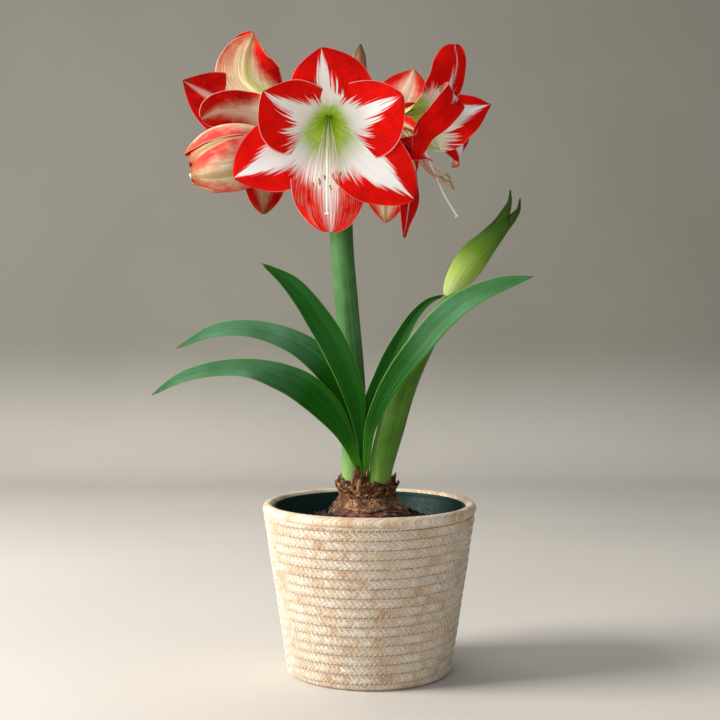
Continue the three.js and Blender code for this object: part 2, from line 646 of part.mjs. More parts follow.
function stamens(bloom) {
  const { spread, length, style, flare, styleFlare = flare } = STAMENS[bloom.name];
  const axes = bloomAxes(bloom);
  const base = vec(bloom.base).addScaledVector(axes.along, 2.4 + CLEAR);
  const parts = [disc(base, axes.along, 0, 1.6, 2.1)];
  const ray = (degrees) => axes.right.clone().multiplyScalar(Math.cos(rad(degrees)))
    .addScaledVector(axes.top, Math.sin(rad(degrees)));
  const thread = (azimuth, reach, root, tipR) => {
    const path = midrib(reach, root === null ? styleFlare : flare, 0, 0, 24);
    const line = [0, 0.2, 0.4, 0.6, 0.8, 1].map((s) => {
      const p = path.placeAt(s);
      const ring = root === null ? 0 : between(s, [0, 0.6, 1], [1.4, 2.2, 0.5]);
      return base.clone().addScaledVector(ray(azimuth), p.x).addScaledVector(axes.along, p.z + 0.4)
        .addScaledVector(ray(root ?? 0), ring).toArray();
    });
    const radiusAt = (t) => {
      const r = between(t, [0, 0.86, 0.93, 1], [FILAMENT_R, FILAMENT_R, tipR, tipR * 0.8]);
      return [r, r];
    };
    parts.push(stem(line, radiusAt, 4, 7, [0.3, 0.2, 0.93]));
  };
  const roots = [150, 210, 250, 290, 330, 30];
  roots.forEach((root, i) => {
    thread(-90 + (spread * (i - 2.5)) / 2.5, length * (1 - 0.07 * (i % 3)), root, 1.5);
  });
  thread(-90, style, null, 1.2);
  return joined(parts);
}

function budSmall() {
  const base = vec(BUD_BASE);
  const tip = vec(BUD_TIP);
  const along = tip.clone().sub(base);
  const line = [0, 0.25, 0.5, 0.75, 1].map((t) => base.clone().addScaledVector(along, t).toArray());
  const radiusAt = (t) => {
    const r = between(t, [0, 0.12, 0.35, 0.6, 0.85, 1],
      [TUBE_R, 4.6, 7, BUD_R, 6.2, 1.4]);
    return [r, r];
  };
  return stem(line, radiusAt, 12, 10);
}

// ---------- assembly ----------
function material(color, roughness) {
  return new THREE.MeshStandardMaterial({ color, roughness });
}

function meshOf(name, manifold, color, roughness) {
  const { vertProperties, triVerts } = manifold.getMesh();
  const geometry = new THREE.BufferGeometry();
  geometry.setAttribute("position", new THREE.BufferAttribute(new Float32Array(vertProperties), 3));
  geometry.setIndex(new THREE.BufferAttribute(new Uint32Array(triVerts), 1));
  geometry.computeVertexNormals();
  const mesh = new THREE.Mesh(geometry, material(color, roughness));
  mesh.name = name;
  return mesh;
}

const part = new THREE.Group();
part.name = "amaryllis_in_a_pot";
part.add(
  meshOf("basket", basket(), 0xb89b72, 0.85),
  meshOf("inner_pot", innerPot(), 0x2b3a35, 0.5),
  meshOf("soil", soil(), 0x2e211a, 0.95),
  meshOf("bulb", bulb(), 0x6b4a3a, 0.7),
  meshOf("scape_tall", scapeTall(), 0x6f9a5e, 0.5),
  meshOf("scape_short", scapeShort(), 0x86a152, 0.5),
  meshOf("bud_small", budSmall(), 0x9a7f5a, 0.5),
);
for (const shape of LEAVES) {
  part.add(meshOf(shape.name, leaf(shape), 0x3f7d2c, 0.45));
}
for (const bloom of BLOOMS) {
  part.add(meshOf(`bloom_${bloom.name}`, bloomSolid(bloom), 0xd0202a, 0.5));
  part.add(meshOf(`stamens_${bloom.name}`, stamens(bloom), 0xd9dcae, 0.6));
}

export default part;
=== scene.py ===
"""Looks of a potted amaryllis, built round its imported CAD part.

Sizes are in millimetres, as the part's own driving dimensions are, and become metres where a
mesh is made. +Z is up and the origin is the middle of the basket's flat base.
"""

import sys
import logging
import math
from collections.abc import Callable
from dataclasses import dataclass, field
from enum import Enum

import bpy
import numpy as np
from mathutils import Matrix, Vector


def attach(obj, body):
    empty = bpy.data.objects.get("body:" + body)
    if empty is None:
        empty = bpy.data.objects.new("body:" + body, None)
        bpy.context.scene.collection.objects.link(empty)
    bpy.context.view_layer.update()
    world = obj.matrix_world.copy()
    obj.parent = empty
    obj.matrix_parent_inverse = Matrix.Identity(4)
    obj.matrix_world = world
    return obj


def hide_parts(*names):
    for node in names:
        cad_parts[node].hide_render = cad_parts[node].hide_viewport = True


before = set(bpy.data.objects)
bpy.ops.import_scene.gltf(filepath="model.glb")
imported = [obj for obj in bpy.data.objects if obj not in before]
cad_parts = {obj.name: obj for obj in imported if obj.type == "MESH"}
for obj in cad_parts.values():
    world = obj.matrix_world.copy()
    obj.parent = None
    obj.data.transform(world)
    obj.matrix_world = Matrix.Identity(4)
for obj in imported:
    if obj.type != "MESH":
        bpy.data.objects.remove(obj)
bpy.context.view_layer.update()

log = logging.getLogger("amaryllis")

MM = 0.001
TURN = 2 * math.pi
CLEAR = 0.35
BODY = "root"
SURFACE_MAP = "surface_uv"

Array = np.ndarray
Socket = bpy.types.NodeSocket


# ---------- curves and sections ----------
def unit(vectors: Array) -> Array:
    """Vectors scaled to length one."""
    return vectors / np.linalg.norm(vectors, axis=-1, keepdims=True)


def joined(*values: Array | float) -> Array:
    """Points, or map places, from the values of each of their parts."""
    return np.stack(np.broadcast_arrays(*values), axis=-1)


def smooth(x: Array | float, low: float, high: float) -> Array:
    """Share from 0 at low to 1 at high, flat at both ends."""
    f = np.clip((np.asarray(x, float) - low) / (high - low), 0, 1)
    return f * f * (3 - 2 * f)


def around(count: int) -> Array:
    """Angles of points spread evenly round a circle."""
    return np.linspace(0, TURN, count, endpoint=False)


def upright(radius: Array | float, angle: Array, z: Array | float) -> Array:
    """Points at a radius and an angle about the upright axis, at height z."""
    return joined(radius * np.cos(angle), radius * np.sin(angle), z)


def evened(values: Array, reach: int) -> Array:
    """Values averaged over the ones up to reach places on each side."""
    return np.convolve(np.pad(values, reach, "edge"), np.ones(2 * reach + 1) / (2 * reach + 1), "valid")


def ring_map(rows: int, cols: int, low: float = 0.0, high: float = 1.0) -> Array:
    """Surface map of rings whose length runs from low to high, with a closing column."""
    return joined(np.linspace(0, 1, cols + 1)[None, :], np.linspace(low, high, rows)[:, None])


def spline(knots: list, t: Array) -> Array:
    """Places on the centripetal Catmull-Rom curve through the knots, as the part's stems follow.

    Args:
        knots: points that the curve passes through.
        t: shares of the curve, 0 to 1, with the knots evenly spread.

    Returns:
        One point for each share.
    """
    p = np.asarray(knots, float)
    p = np.vstack([2 * p[0] - p[1], p, 2 * p[-1] - p[-2]])
    spans = len(knots) - 1
    index = np.minimum((np.asarray(t) * spans).astype(int), spans - 1)
    w = (np.asarray(t) * spans - index)[:, None]
    a, b, c, d = (p[index + k] for k in range(4))
    gap = [np.sqrt(np.linalg.norm(v - u, axis=1))[:, None] for u, v in ((a, b), (b, c), (c, d))]
    start = ((b - a) / gap[0] - (c - a) / (gap[0] + gap[1]) + (c - b) / gap[1]) * gap[1]
    end = ((c - b) / gap[1] - (d - b) / (gap[1] + gap[2]) + (d - c) / gap[2]) * gap[1]
    square = 3 * (c - b) - 2 * start - end
    cube = 2 * (b - c) + start + end
    return b + start * w + square * w**2 + cube * w**3


def tube_rings(line: Array, radii: Array, sides: int, squash: float = 1.0,
               reference: tuple = (0, 1, 0)) -> Array:
    """Rings of a stem round a line.

    Args:
        line: points of the middle line.
        radii: radius at each point.
        sides: points in a ring.
        squash: share of the radius across the first direction that the other one gets.
        reference: direction that the second radius stays near.

    Returns:
        An array of rings, each of sides points.
    """
    tangent = unit(np.gradient(line, axis=0))
    across = unit(np.cross(tangent, np.asarray(reference, float)))
    up = np.cross(across, tangent)
    angle = around(sides)
    wide = across[:, None] * np.cos(angle)[None, :, None]
    deep = up[:, None] * np.sin(angle)[None, :, None] * squash
    return line[:, None] + np.asarray(radii, float)[:, None, None] * (wide + deep)


def drawn_in(rings: Array, line: Array, share: Array) -> Array:
    """Rings whose points keep that share of their distance from the line."""
    return line[:, None] + (rings - line[:, None]) * share[..., None]


def ray(axes: tuple, degrees: float) -> Array:
    """Unit vector at an angle round the last of three axes, counted from the first."""
    angle = math.radians(degrees)
    return axes[0] * math.cos(angle) + axes[1] * math.sin(angle)


def turned_rings(profile: list, sides: int, steps: int = 1) -> Array:
    """Rings of a turned surface from [radius, height] points, each span cut into steps."""
    places = np.asarray(profile, float)
    t = np.linspace(0, len(places) - 1, (len(places) - 1) * steps + 1)
    knots = np.arange(len(places))
    radius, height = (np.interp(t, knots, places[:, k])[:, None] for k in (0, 1))
    return upright(radius, around(sides), height)


def ripple(points: Array, size: float, seed: float) -> Array:
    """Smooth uneven value from about -1 to 1 at each point, with bumps of about that size."""
    p = points * (TURN / size)
    x, y, z = p[..., 0], p[..., 1], p[..., 2]
    first = np.sin(0.9 * x + 0.31 * y - 0.43 * z + seed)
    first = first + np.sin(-0.37 * x + 0.83 * y + 0.51 * z + 2.1 * seed)
    second = np.sin(0.53 * x - 0.61 * y + 0.93 * z + 3.3 * seed + 0.8 * np.sin(0.7 * y + seed))
    return (first + second) / 2.4


# ---------- meshes ----------
class Draft:
    """Points, faces and surface maps of one piece while it is being made, in millimetres."""

    def __init__(self) -> None:
        """Starts with no points and no faces."""
        self.points: list[Array] = []
        self.faces: list[list[int]] = []
        self.uv: list[Array] = []
        self.paint: list[Array] = []
        self.values: list[dict[str, Array]] = []
        self.count = 0

    def add_rings(self, rings: Array, uv: Array | None = None, paint: Array | int = 0,
                  values: dict | None = None, looped: bool = False) -> "Draft":
        """Adds a closed surface of rings, turned to face out.

        Args:
            rings: rows of points, each row closing on itself.
            uv: surface map, with one more column than the rings for the closing one.
            paint: finish number of each column, or one for all.
            values: further named values, each one number or one for each point.
            looped: True where the last ring joins the first, otherwise both ends are capped.

        Returns:
            The draft, so that calls can follow each other.
        """
        rows, cols = rings.shape[:2]
        uv = ring_map(rows, cols) if uv is None else uv
        ids = np.arange(rows * cols).reshape(rows, cols)
        points = rings.reshape(-1, 3)
        if looped:
            ids = np.vstack([ids, ids[:1]])
            uv = np.concatenate([uv, uv[:1]])
            uv[-1, :, 1] = 2 * uv[-2, :, 1] - uv[-3, :, 1]
        right = np.roll(ids, -1, axis=1)
        quads = np.stack([ids[:-1], right[:-1], right[1:], ids[1:]], axis=-1).reshape(-1, 4)
        corners = np.stack([uv[:-1, :-1], uv[:-1, 1:], uv[1:, 1:], uv[1:, :-1]], axis=-2)
        columns = np.broadcast_to(np.asarray(paint), (cols,))
        faces = quads.tolist()
        maps = [corners.reshape(-1, 2)]
        paints = [np.tile(columns, len(ids) - 1)]
        extra = []
        if not looped:
            for end, row in ((0, 0), (1, rows - 1)):
                middle = rows * cols + end
                extra.append(rings[row].mean(axis=0))
                first, second = (right, ids) if end == 0 else (ids, right)
                fan = np.stack([np.full(cols, middle), first[row], second[row]], axis=-1)
                faces += fan.tolist()
                near, far = uv[row, :-1], uv[row, 1:]
                hub = (near + far) / 2
                pair = (hub, far, near) if end == 0 else (hub, near, far)
                maps.append(np.stack(pair, axis=1).reshape(-1, 2))
                paints.append(columns)
        points = np.vstack([points, *[e[None] for e in extra]]) if extra else points
        a, b, c, d = (points[quads[:, k]] for k in range(4))
        volume = np.einsum("ij,ij->", a, np.cross(b, c)) + np.einsum("ij,ij->", a, np.cross(c, d))
        if volume < 0:
            faces = [face[::-1] for face in faces]
            flipped = maps[0].reshape(-1, 4, 2)[:, ::-1].reshape(-1, 2)
            maps = [flipped] + [m.reshape(-1, 3, 2)[:, ::-1].reshape(-1, 2) for m in maps[1:]]
        named = {}
        for name, value in (values or {}).items():
            flat = np.broadcast_to(np.asarray(value, float), (rows, cols))
            ends = [flat[0].mean(), flat[-1].mean()] if extra else []
            named[name] = np.concatenate([flat.ravel(), ends])
        self.faces += [[self.count + i for i in face] for face in faces]
        self.points.append(points)
        self.uv += maps
        self.paint += paints
        self.values.append(named)
        self.count += len(points)
        return self

    def add_lump(self, centre: Array, size: Array, turn: Array, seed: float, paint: int = 0) -> "Draft":
        """Adds one small rough clod of soil as a closed body with six sides.

        Args:
            centre: middle of the clod.
            size: its three half sizes.
            turn: rotation matrix.
            seed: number that its roughness comes from.
            paint: finish number.

        Returns:
            The draft, so that calls can follow each other.
        """
        level = np.array([-0.55, 0.1, 0.65])
        rough = 1 + 0.3 * np.sin(seed + 2.3 * np.arange(18)).reshape(3, 6)
        ring = np.sqrt(1 - level**2)[:, None] * rough
        rings = upright(ring, around(6), level[:, None])
        return self.add_rings((rings * size) @ turn.T + centre, paint=paint)

    def build(self, name: str, slot: str, finishes: list, nodes: tuple = ()) -> bpy.types.Object:
        """Makes the Blender object of this draft and fixes it to the part.

        Args:
            name: name of the piece.
            slot: not used.
            finishes: materials, in the order of the finish numbers.
            nodes: CAD nodes that it stands for.

        Returns:
            The object.
        """
        mesh = bpy.data.meshes.new(name)
        mesh.from_pydata((np.vstack(self.points) * MM).tolist(), [], self.faces)
        layer = mesh.uv_layers.new(name=SURFACE_MAP)
        layer.data.foreach_set("uv", np.concatenate(self.uv).astype(np.float32).ravel())
        paint = np.concatenate(self.paint).astype(np.int32)
        mesh.polygons.foreach_set("material_index", paint)
        mesh.polygons.foreach_set("use_smooth", np.ones(len(self.faces), bool))
        for label in sorted({key for values in self.values for key in values}):
            parts = [v.get(label, np.zeros(len(p))) for v, p in zip(self.values, self.points)]
            attribute = mesh.attributes.new(label, "FLOAT", "POINT")
            attribute.data.foreach_set("value", np.concatenate(parts).astype(np.float32))
        for finish in finishes:
            mesh.materials.append(finish)
        piece = bpy.data.objects.new(name, mesh)
        bpy.context.scene.collection.objects.link(piece)
        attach(piece, BODY)
        if nodes:
            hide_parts(*nodes)
        triangles = sum(len(face) - 2 for face in self.faces)
        log.info("%s: %d triangles, stands for %s", name, triangles, ", ".join(nodes) or "nothing")
        return piece


# ---------- shader nodes ----------
def tone(code: str) -> tuple:
    """Linear colour of a six-digit screen colour."""
    parts = [int(code[i:i + 2], 16) / 255 for i in (1, 3, 5)]
    return (*[c / 12.92 if c <= 0.04045 else ((c + 0.055) / 1.055) ** 2.4 for c in parts], 1.0)


def arithmetic(operation: str, swapped: bool = False) -> Callable:
    """The method that joins a shader value and another one by that operation.

    Args:
        operation: kind of sum that the node works out.
        swapped: True where the other value comes first.

    Returns:
        The method.
    """
    def method(value: "Value", other: object) -> "Value":
        """Makes the node."""
        pair = (other, value) if swapped else (value, other)
        return value.nodes.math(operation, *pair)

    return method


@dataclass(frozen=True)
class Value:
    """Output of a shader node, which the plain signs of arithmetic turn into further nodes."""

    nodes: "Nodes"
    socket: Socket

    __add__ = __radd__ = arithmetic("ADD")
    __mul__ = __rmul__ = arithmetic("MULTIPLY")
    __pow__ = arithmetic("POWER")
    __sub__, __rsub__ = arithmetic("SUBTRACT"), arithmetic("SUBTRACT", True)
    __truediv__, __rtruediv__ = arithmetic("DIVIDE"), arithmetic("DIVIDE", True)


class Nodes:
    """Short calls that make the nodes of one shader tree."""

    def __init__(self, tree: bpy.types.NodeTree) -> None:
        """Works in that tree."""
        self.tree = tree

    def add(self, kind: str, inputs: dict | None = None, **settings: object) -> bpy.types.Node:
        """Adds a node.

        Args:
            kind: the node's type without its prefix.
            inputs: number, colour code or value for each named input.
            settings: the node's own options.

        Returns:
            The node.
        """
        node = self.tree.nodes.new("ShaderNode" + kind)
        for name, value in settings.items():
            setattr(node, name, value)
        for key, value in (inputs or {}).items():
            self.plug(node.inputs[key], value)
        return node

    def outputs(self, node: bpy.types.Node) -> dict[str, Value]:
        """The node's outputs as values, by name."""
        return {socket.name: Value(self, socket) for socket in node.outputs}

    def made(self, output: int | str, kind: str, inputs: dict, **settings: object) -> Value:
        """Adds a node, as add does, and gives one of its outputs."""
        return Value(self, self.add(kind, inputs, **settings).outputs[output])

    def plug(self, socket: Socket, value: object) -> None:
        """Links a value to the input, or sets the input's own number or colour."""
        if isinstance(value, Value):
            self.tree.links.new(value.socket, socket)
        else:
            socket.default_value = tone(value) if isinstance(value, str) else value

    def math(self, operation: str, *values: object, clamp: bool = False) -> Value:
        """One step of arithmetic."""
        return self.made(0, "Math", dict(enumerate(values)), operation=operation, use_clamp=clamp)

    def wave(self, turns: Value) -> Value:
        """Sine of a value in whole turns."""
        return self.math("SINE", turns * TURN)

    def step(self, value: Value, low: object, high: object) -> Value:
        """Share from 0 at low to 1 at high, smooth at both ends."""
        inputs = {"Value": value, "From Min": low, "From Max": high}
        return self.made(0, "MapRange", inputs, interpolation_type="SMOOTHSTEP")

    def mix(self, share: object, low: object, high: object) -> Value:
        """Colour between two colours."""
        return self.made(2, "Mix", {0: share, 6: low, 7: high}, data_type="RGBA")

    def ramp(self, value: Value, *stops: tuple) -> Value:
        """Colour, or grey value, read off stops of (place, colour code or number)."""
        node = self.add("ValToRGB", {"Fac": value})
        for i, (place, level) in enumerate(stops):
            while len(node.color_ramp.elements) <= i:
                node.color_ramp.elements.new(1)
            element = node.color_ramp.elements[i]
            element.position = place
            element.color = tone(level) if isinstance(level, str) else (level, level, level, 1)
        return Value(self, node.outputs[0])

    def noise(self, place: tuple, detail: float) -> Value:
        """Cloudy value about 0.5 at a place of three values, in clouds of about one unit."""
        inputs = {"Vector": self.vector(*place), "Scale": 1.0, "Detail": detail, "Roughness": 0.55}
        return self.made(0, "TexNoise", inputs)

    def vector(self, x: object, y: object, z: object) -> Value:
        """Vector of three values."""
        return self.made(0, "CombineXYZ", {"X": x, "Y": y, "Z": z})

    def split(self, vector: Value) -> tuple:
        """The three values of a vector."""
        return tuple(self.outputs(self.add("SeparateXYZ", {0: vector})).values())

    def surface(self) -> tuple:
        """The surface map's two values."""
        return self.split(self.made(0, "UVMap", {}, uv_map=SURFACE_MAP))[:2]

    def place(self) -> Value:
        """Place on the object, in metres."""
        return self.made("Object", "TexCoord", {})

    def value(self, name: str) -> Value:
        """A named value of the mesh."""
        return self.made("Fac", "Attribute", {}, attribute_name=name)

    def group(self, tree: bpy.types.NodeTree, inputs: dict) -> dict[str, Value]:
        """Places a shared group and returns its outputs."""
        return self.outputs(self.add("Group", inputs, node_tree=tree))

    def bump(self, height: Value, depth: float) -> Value:
        """Normal of a relief that is depth millimetres deep."""
        return self.made(0, "Bump", {"Height": height, "Distance": depth * MM, "Strength": 1.0})


def new_group(name: str, inputs: dict, outputs: dict) -> tuple:
    """Starts a shared shader group.

    Args:
        name: name of the group.
        inputs: kind of each named input.
        outputs: kind of each named output.

    Returns:
        Its Nodes, the values of its inputs and the sockets that its outputs take.
    """
    tree = bpy.data.node_groups.new(name, "ShaderNodeTree")
    for label, kind in inputs.items():
        tree.interface.new_socket(name=label, in_out="INPUT", socket_type="NodeSocket" + kind)
    for label, kind in outputs.items():
        tree.interface.new_socket(name=label, in_out="OUTPUT", socket_type="NodeSocket" + kind)
    n = Nodes(tree)
    entry = n.outputs(tree.nodes.new("NodeGroupInput"))
    return n, entry, tree.nodes.new("NodeGroupOutput").inputs


def fibre_group() -> bpy.types.NodeTree:
    """Long fibres or veins: two streaked values, coarse and fine, from a stretched map."""
    n, entry, leave = new_group(
        "plant_fibres",
        {"Across": "Float", "Along": "Float", "Count": "Float", "Stretch": "Float", "Seed": "Float"},
        {"Coarse": "Float", "Fine": "Float"},
    )
    wide = entry["Across"] * entry["Count"]
    long = entry["Along"] * entry["Stretch"]
    coarse = n.noise((wide, long, entry["Seed"]), 2)
    fine = n.noise((wide * 2.7, long, entry["Seed"]), 3)
    n.plug(leave["Coarse"], n.step(coarse, 0.28, 0.72))
    n.plug(leave["Fine"], n.step(fine, 0.3, 0.7))
    return n.tree


def mottle_group() -> bpy.types.NodeTree:
    """Cloudy patches of a given size in metres."""
    n, entry, leave = new_group(
        "soft_mottle", {"Place": "Vector", "Size": "Float", "Seed": "Float"}, {"Mask": "Float"}
    )
    moved = n.made(0, "VectorMath", {0: entry["Place"], 1: entry["Seed"]}, operation="ADD")
    cloud = n.made(0, "TexNoise", {"Vector": moved, "Scale": 1.0 / entry["Size"], "Detail": 4.0})
    n.plug(leave["Mask"], n.step(cloud, 0.3, 0.7))
    return n.tree


def margin_group() -> bpy.types.NodeTree:
    """Distance from the midrib of a blade, 0 to 1, and a thin band along its margins."""
    n, entry, leave = new_group(
        "blade_margin", {"Across": "Float", "Width": "Float"}, {"Aside": "Float", "Band": "Float"}
    )
    aside = n.math("ABSOLUTE", entry["Across"] * 2.0 - 1.0)
    n.plug(leave["Aside"], aside)
    n.plug(leave["Band"], n.step(aside, 1.0 - entry["Width"], entry["Width"] * -0.4 + 1.0))
    return n.tree


# ---------- finishes ----------
@dataclass(frozen=True)
class Gloss:
    """Fixed numbers of a surface's shine."""

    specular: float = 0.5
    subsurface: float = 0.0
    sheen: float = 0.0
    coat: float = 0.0


class Finish(Nodes):
    """One material and the nodes that make its colour, roughness and relief."""

    def __init__(self, name: str, gloss: Gloss) -> None:
        """Starts the material and its shader."""
        self.material = bpy.data.materials.new(name)
        self.material.use_nodes = True
        super().__init__(self.material.node_tree)
        self.shader = self.tree.nodes["Principled BSDF"].inputs
        self.shader["Specular IOR Level"].default_value = gloss.specular
        self.shader["Subsurface Weight"].default_value = gloss.subsurface
        self.shader["Subsurface Radius"].default_value = (1.0, 0.35, 0.2)
        self.shader["Subsurface Scale"].default_value = 1.2 * MM
        self.shader["Sheen Weight"].default_value = gloss.sheen
        self.shader["Coat Weight"].default_value = gloss.coat

    def finish(self, colour: Value, rough: Value, relief: Value, depth: float) -> bpy.types.Material:
        """Joins the colour, the roughness and a relief depth millimetres deep, and gives the material."""
        self.plug(self.shader["Base Color"], colour)
        self.plug(self.shader["Roughness"], rough)
        self.plug(self.shader["Normal"], self.bump(relief, depth))
        return self.material


@dataclass
class Palette:
    """The shared groups and every material of the object."""

    fibres: bpy.types.NodeTree = field(default_factory=fibre_group)
    mottle: bpy.types.NodeTree = field(default_factory=mottle_group)
    margin: bpy.types.NodeTree = field(default_factory=margin_group)

    def streaks(self, n: Nodes, across: object, along: object, count: float, stretch: float,
                seed: object = 0.0) -> tuple:
        """Coarse and fine streaks along a surface."""
        inputs = {"Across": across, "Along": along, "Count": count, "Stretch": stretch, "Seed": seed}
        return tuple(n.group(self.fibres, inputs).values())

    def clouds(self, n: Nodes, size: float, seed: object = 0.0) -> Value:
        """Cloudy patches of about that size in millimetres."""
        return n.group(self.mottle, {"Place": n.place(), "Size": size * MM, "Seed": seed})["Mask"]

    def petal_inside(self) -> bpy.types.Material:
        """Inner face of a tepal: green throat lit by a painted glow, white star, red sides with feathered
        veins and painted highlights.
        """
        n = Finish("petal_inside", Gloss(specular=0.06, subsurface=0.06))
        across, along = n.surface()
        seed = n.value("petal_seed")
        soft = n.value("petal_soft")
        band = n.group(self.margin, {"Across": across, "Width": 0.032})
        aside = band["Aside"]
        side = across * 2.0 - 1.0
        spread = side / (along ** 0.8 + 0.1)
        coarse, fine = self.streaks(n, spread, along, 12.0, 2.6, seed)
        fan = side / (along ** 1.3 + 0.02)
        comb_lines = n.noise((fan * 10.0, along * 0.9, seed), 1)
        closing = n.ramp(along, (0.48, 0), (0.78, 1)) * 0.5 + n.step(aside, 0.3, 1.0) * 0.12
        comb_lines = n.step(comb_lines + (closing - 0.11), 0.42, 0.52)
        star = n.ramp(along, (0, 1), (0.42, 0.9), (0.52, 0.62), (0.66, 0.36), (0.84, 0.17), (1, 0.02))
        star = star * n.value("petal_star")
        nearer = along - soft * 0.08
        star = n.math("MAXIMUM", star, n.ramp(nearer, (0.37, 1), (0.5, 0.6), (0.64, 0)))
        loose = n.ramp(along, (0.2, 0.5), (0.42, 0.4), (0.7, 0.2), (1, 0.1))
        loose = loose * (soft * 0.9 + 1.0)
        feather = (fine - 0.5) * loose
        uneven = (coarse - 0.5) * 0.2
        reach = aside - star + (feather + uneven)
        spare = soft * 0.2 + 0.06
        reach = reach + n.math("MAXIMUM", n.value("petal_star") * -0.6, 0.0)
        reach = reach - n.ramp(along, (0.34, 0.4), (0.44, 0))
        red = n.step(reach, spare * -1.0, spare)
        zone = n.ramp(along, (0.4, 0), (0.47, 1), (0.7, 1), (0.84, 0))
        zone = n.math("MULTIPLY", zone * n.step(aside, 0.25, 0.5), n.value("petal_comb"), clamp=True)
        red = n.math("ADD", red * (1.0 - zone), comb_lines * zone, clamp=True)
        patches = self.clouds(n, 9.0, seed)
        red_tone = n.mix(patches * 0.5, "#e80602", "#bd0201")
        # Partly vein tone, partly a painted highlight: fine streaks lightened to an orange red.
        red_tone = n.mix(fine * 0.22, red_tone, "#f6250c")
        brushed = n.step(fine + patches * 0.3, 0.62, 0.92) * soft
        red_tone = n.mix(brushed * 0.36, red_tone, "#f7a392")
        white = n.mix(coarse * 0.22, "#fdfcfb", "#e6e2d6")
        white = n.mix(fine * soft * 0.3, white, "#f3a797")
        heart = n.ramp(along, (0, 1), (0.24, 1), (0.36, 0.7), (0.53, 0)) + (fine - 0.5) * 0.45
        heart = n.math("MULTIPLY", heart, n.ramp(along, (0.34, 1), (0.54, 0)), clamp=True)
        green_tone = n.mix(fine * 0.6, "#abc61e", "#6b8f08")
        colour = n.mix(red, n.mix(heart, white, green_tone), red_tone)
        edge = band["Band"] * n.value("petal_edge")
        edge = edge * n.ramp(along, (0.35, 0), (0.55, 0.75))
        colour = n.mix(edge, colour, "#f6cfc6")
        # Painted light: the throat glows with its own green light, so that it looks lit where shade falls in
        # it.
        painted_throat_glow = n.ramp(along, (0, 1), (0.26, 0.8), (0.46, 0)) * (1.0 - red)
        n.plug(n.shader["Emission Color"], n.mix(painted_throat_glow, "#000000", green_tone))
        n.shader["Emission Strength"].default_value = 0.3
        return n.finish(colour, patches * 0.14 + 0.42, fine * 0.6 + coarse * 0.4, 0.25)

    def petal_back(self) -> bpy.types.Material:
        """Outer face of a tepal: cream and green by the midrib, blushed with red to the margins."""
        n = Finish("petal_back", Gloss(specular=0.06, subsurface=0.06))
        across, along = n.surface()
        seed = n.value("petal_seed")
        blush = n.value("petal_blush")
        olive = n.value("petal_olive")
        band = n.group(self.margin, {"Across": across, "Width": 0.045})
        aside = band["Aside"]
        side = across * 2.0 - 1.0
        spread = side / (along ** 0.6 + 0.15)
        coarse, fine = self.streaks(n, spread, along, 13.0, 3.0, seed)
        patches = self.clouds(n, 9.0, seed)
        start = blush * -0.95 + 1.0
        feather = (fine - 0.5) * 0.14
        reach = aside - start + feather
        blotch = n.value("petal_soft") * 0.3 + 0.12
        reach = reach + (patches - 0.5) * blotch
        reach = reach + n.ramp(along, (0.45, 0), (0.95, 0.45))
        reach = reach - n.ramp(along, (0, 1), (0.26, 0.75), (0.48, 0))
        reach = reach + side * n.value("petal_aslant")
        red = n.step(reach, -0.36, 0.46)
        cream = n.mix(coarse, "#eedfcb", n.mix(olive, "#e0b9a0", "#cbb27c"))
        cream = n.mix(n.ramp(along, (0, 1), (0.2, 0.7), (0.5, 0.1)), cream, "#cdd795")
        pink = n.mix(n.step(aside, 0.1, 0.7) * (fine * 0.25 + 0.22), cream, "#dc917c")
        red_tone = n.mix(patches, "#e0140c", "#b80806")
        red_tone = n.mix(n.value("petal_soft") * 0.6, red_tone, "#ee6a5c")
        colour = n.mix(red, pink, red_tone)
        midrib = 1.0 - n.step(aside, 0.03, 0.2)
        greens = n.ramp(along, (0.1, "#c0cc80"), (0.5, "#a9a650"), (0.85, "#8f6c2e"))
        rib_tone = n.mix(olive, "#eccabb", greens)
        colour = n.mix(midrib * 0.75, colour, rib_tone)
        vein = fine * (1.0 - red) * 0.2
        colour = n.mix(vein, colour, n.mix(olive, "#b9806c", "#98913f"))
        edge = band["Band"] * n.value("petal_edge")
        edge = edge * n.ramp(along, (0.35, 0), (0.55, 1))
        colour = n.mix(edge, colour, "#f3cfc0")
        tip = n.step(along, 0.88, 0.98) * (olive * 0.6 + 0.15)
        colour = n.mix(tip, colour, "#96602f")
        return n.finish(colour, coarse * 0.15 + 0.45, fine * 0.6 + midrib * 0.8, 0.3)

    def leaf_blade(self) -> bpy.types.Material:
        """Deep green strap leaf with parallel veins, a pale margin and a grey-green painted sheen along its
        arch, partly waxy bloom.
        """
        n = Finish("leaf_blade", Gloss(specular=0.12))
        across, along = n.surface()
        band = n.group(self.margin, {"Across": across, "Width": 0.06})
        coarse, fine = self.streaks(n, across, along, 22.0, 1.5, n.value("leaf_seed"))
        green = n.mix(coarse, "#0b4a00", "#176402")
        green = n.mix(fine * 0.22, green, "#073400")
        # Painted reflection of the key light along the upper arch, partly waxy bloom: a grey-green tone, as
        # strong as each leaf's value.
        hazy = n.ramp(along, (0.42, 0), (0.66, 0.7), (0.95, 0.45)) * n.value("leaf_haze")
        hazy = hazy * (self.clouds(n, 30.0) * 0.5 + 0.5)
        green = n.mix(hazy, green, "#74a886")
        green = n.mix(n.ramp(along, (0, 0.95), (0.1, 0.5), (0.22, 0)), green, "#62b522")
        rib = 1.0 - n.step(band["Aside"], 0.0, 0.12)
        green = n.mix(rib * 0.25, green, "#123a08")
        colour = n.mix(band["Band"] * 0.75, green, "#83ad38")
        colour = n.mix(n.step(along, 0.975, 1.0), colour, "#6d5a2c")
        return n.finish(colour, coarse * 0.12 + 0.34, coarse + fine, 0.12)

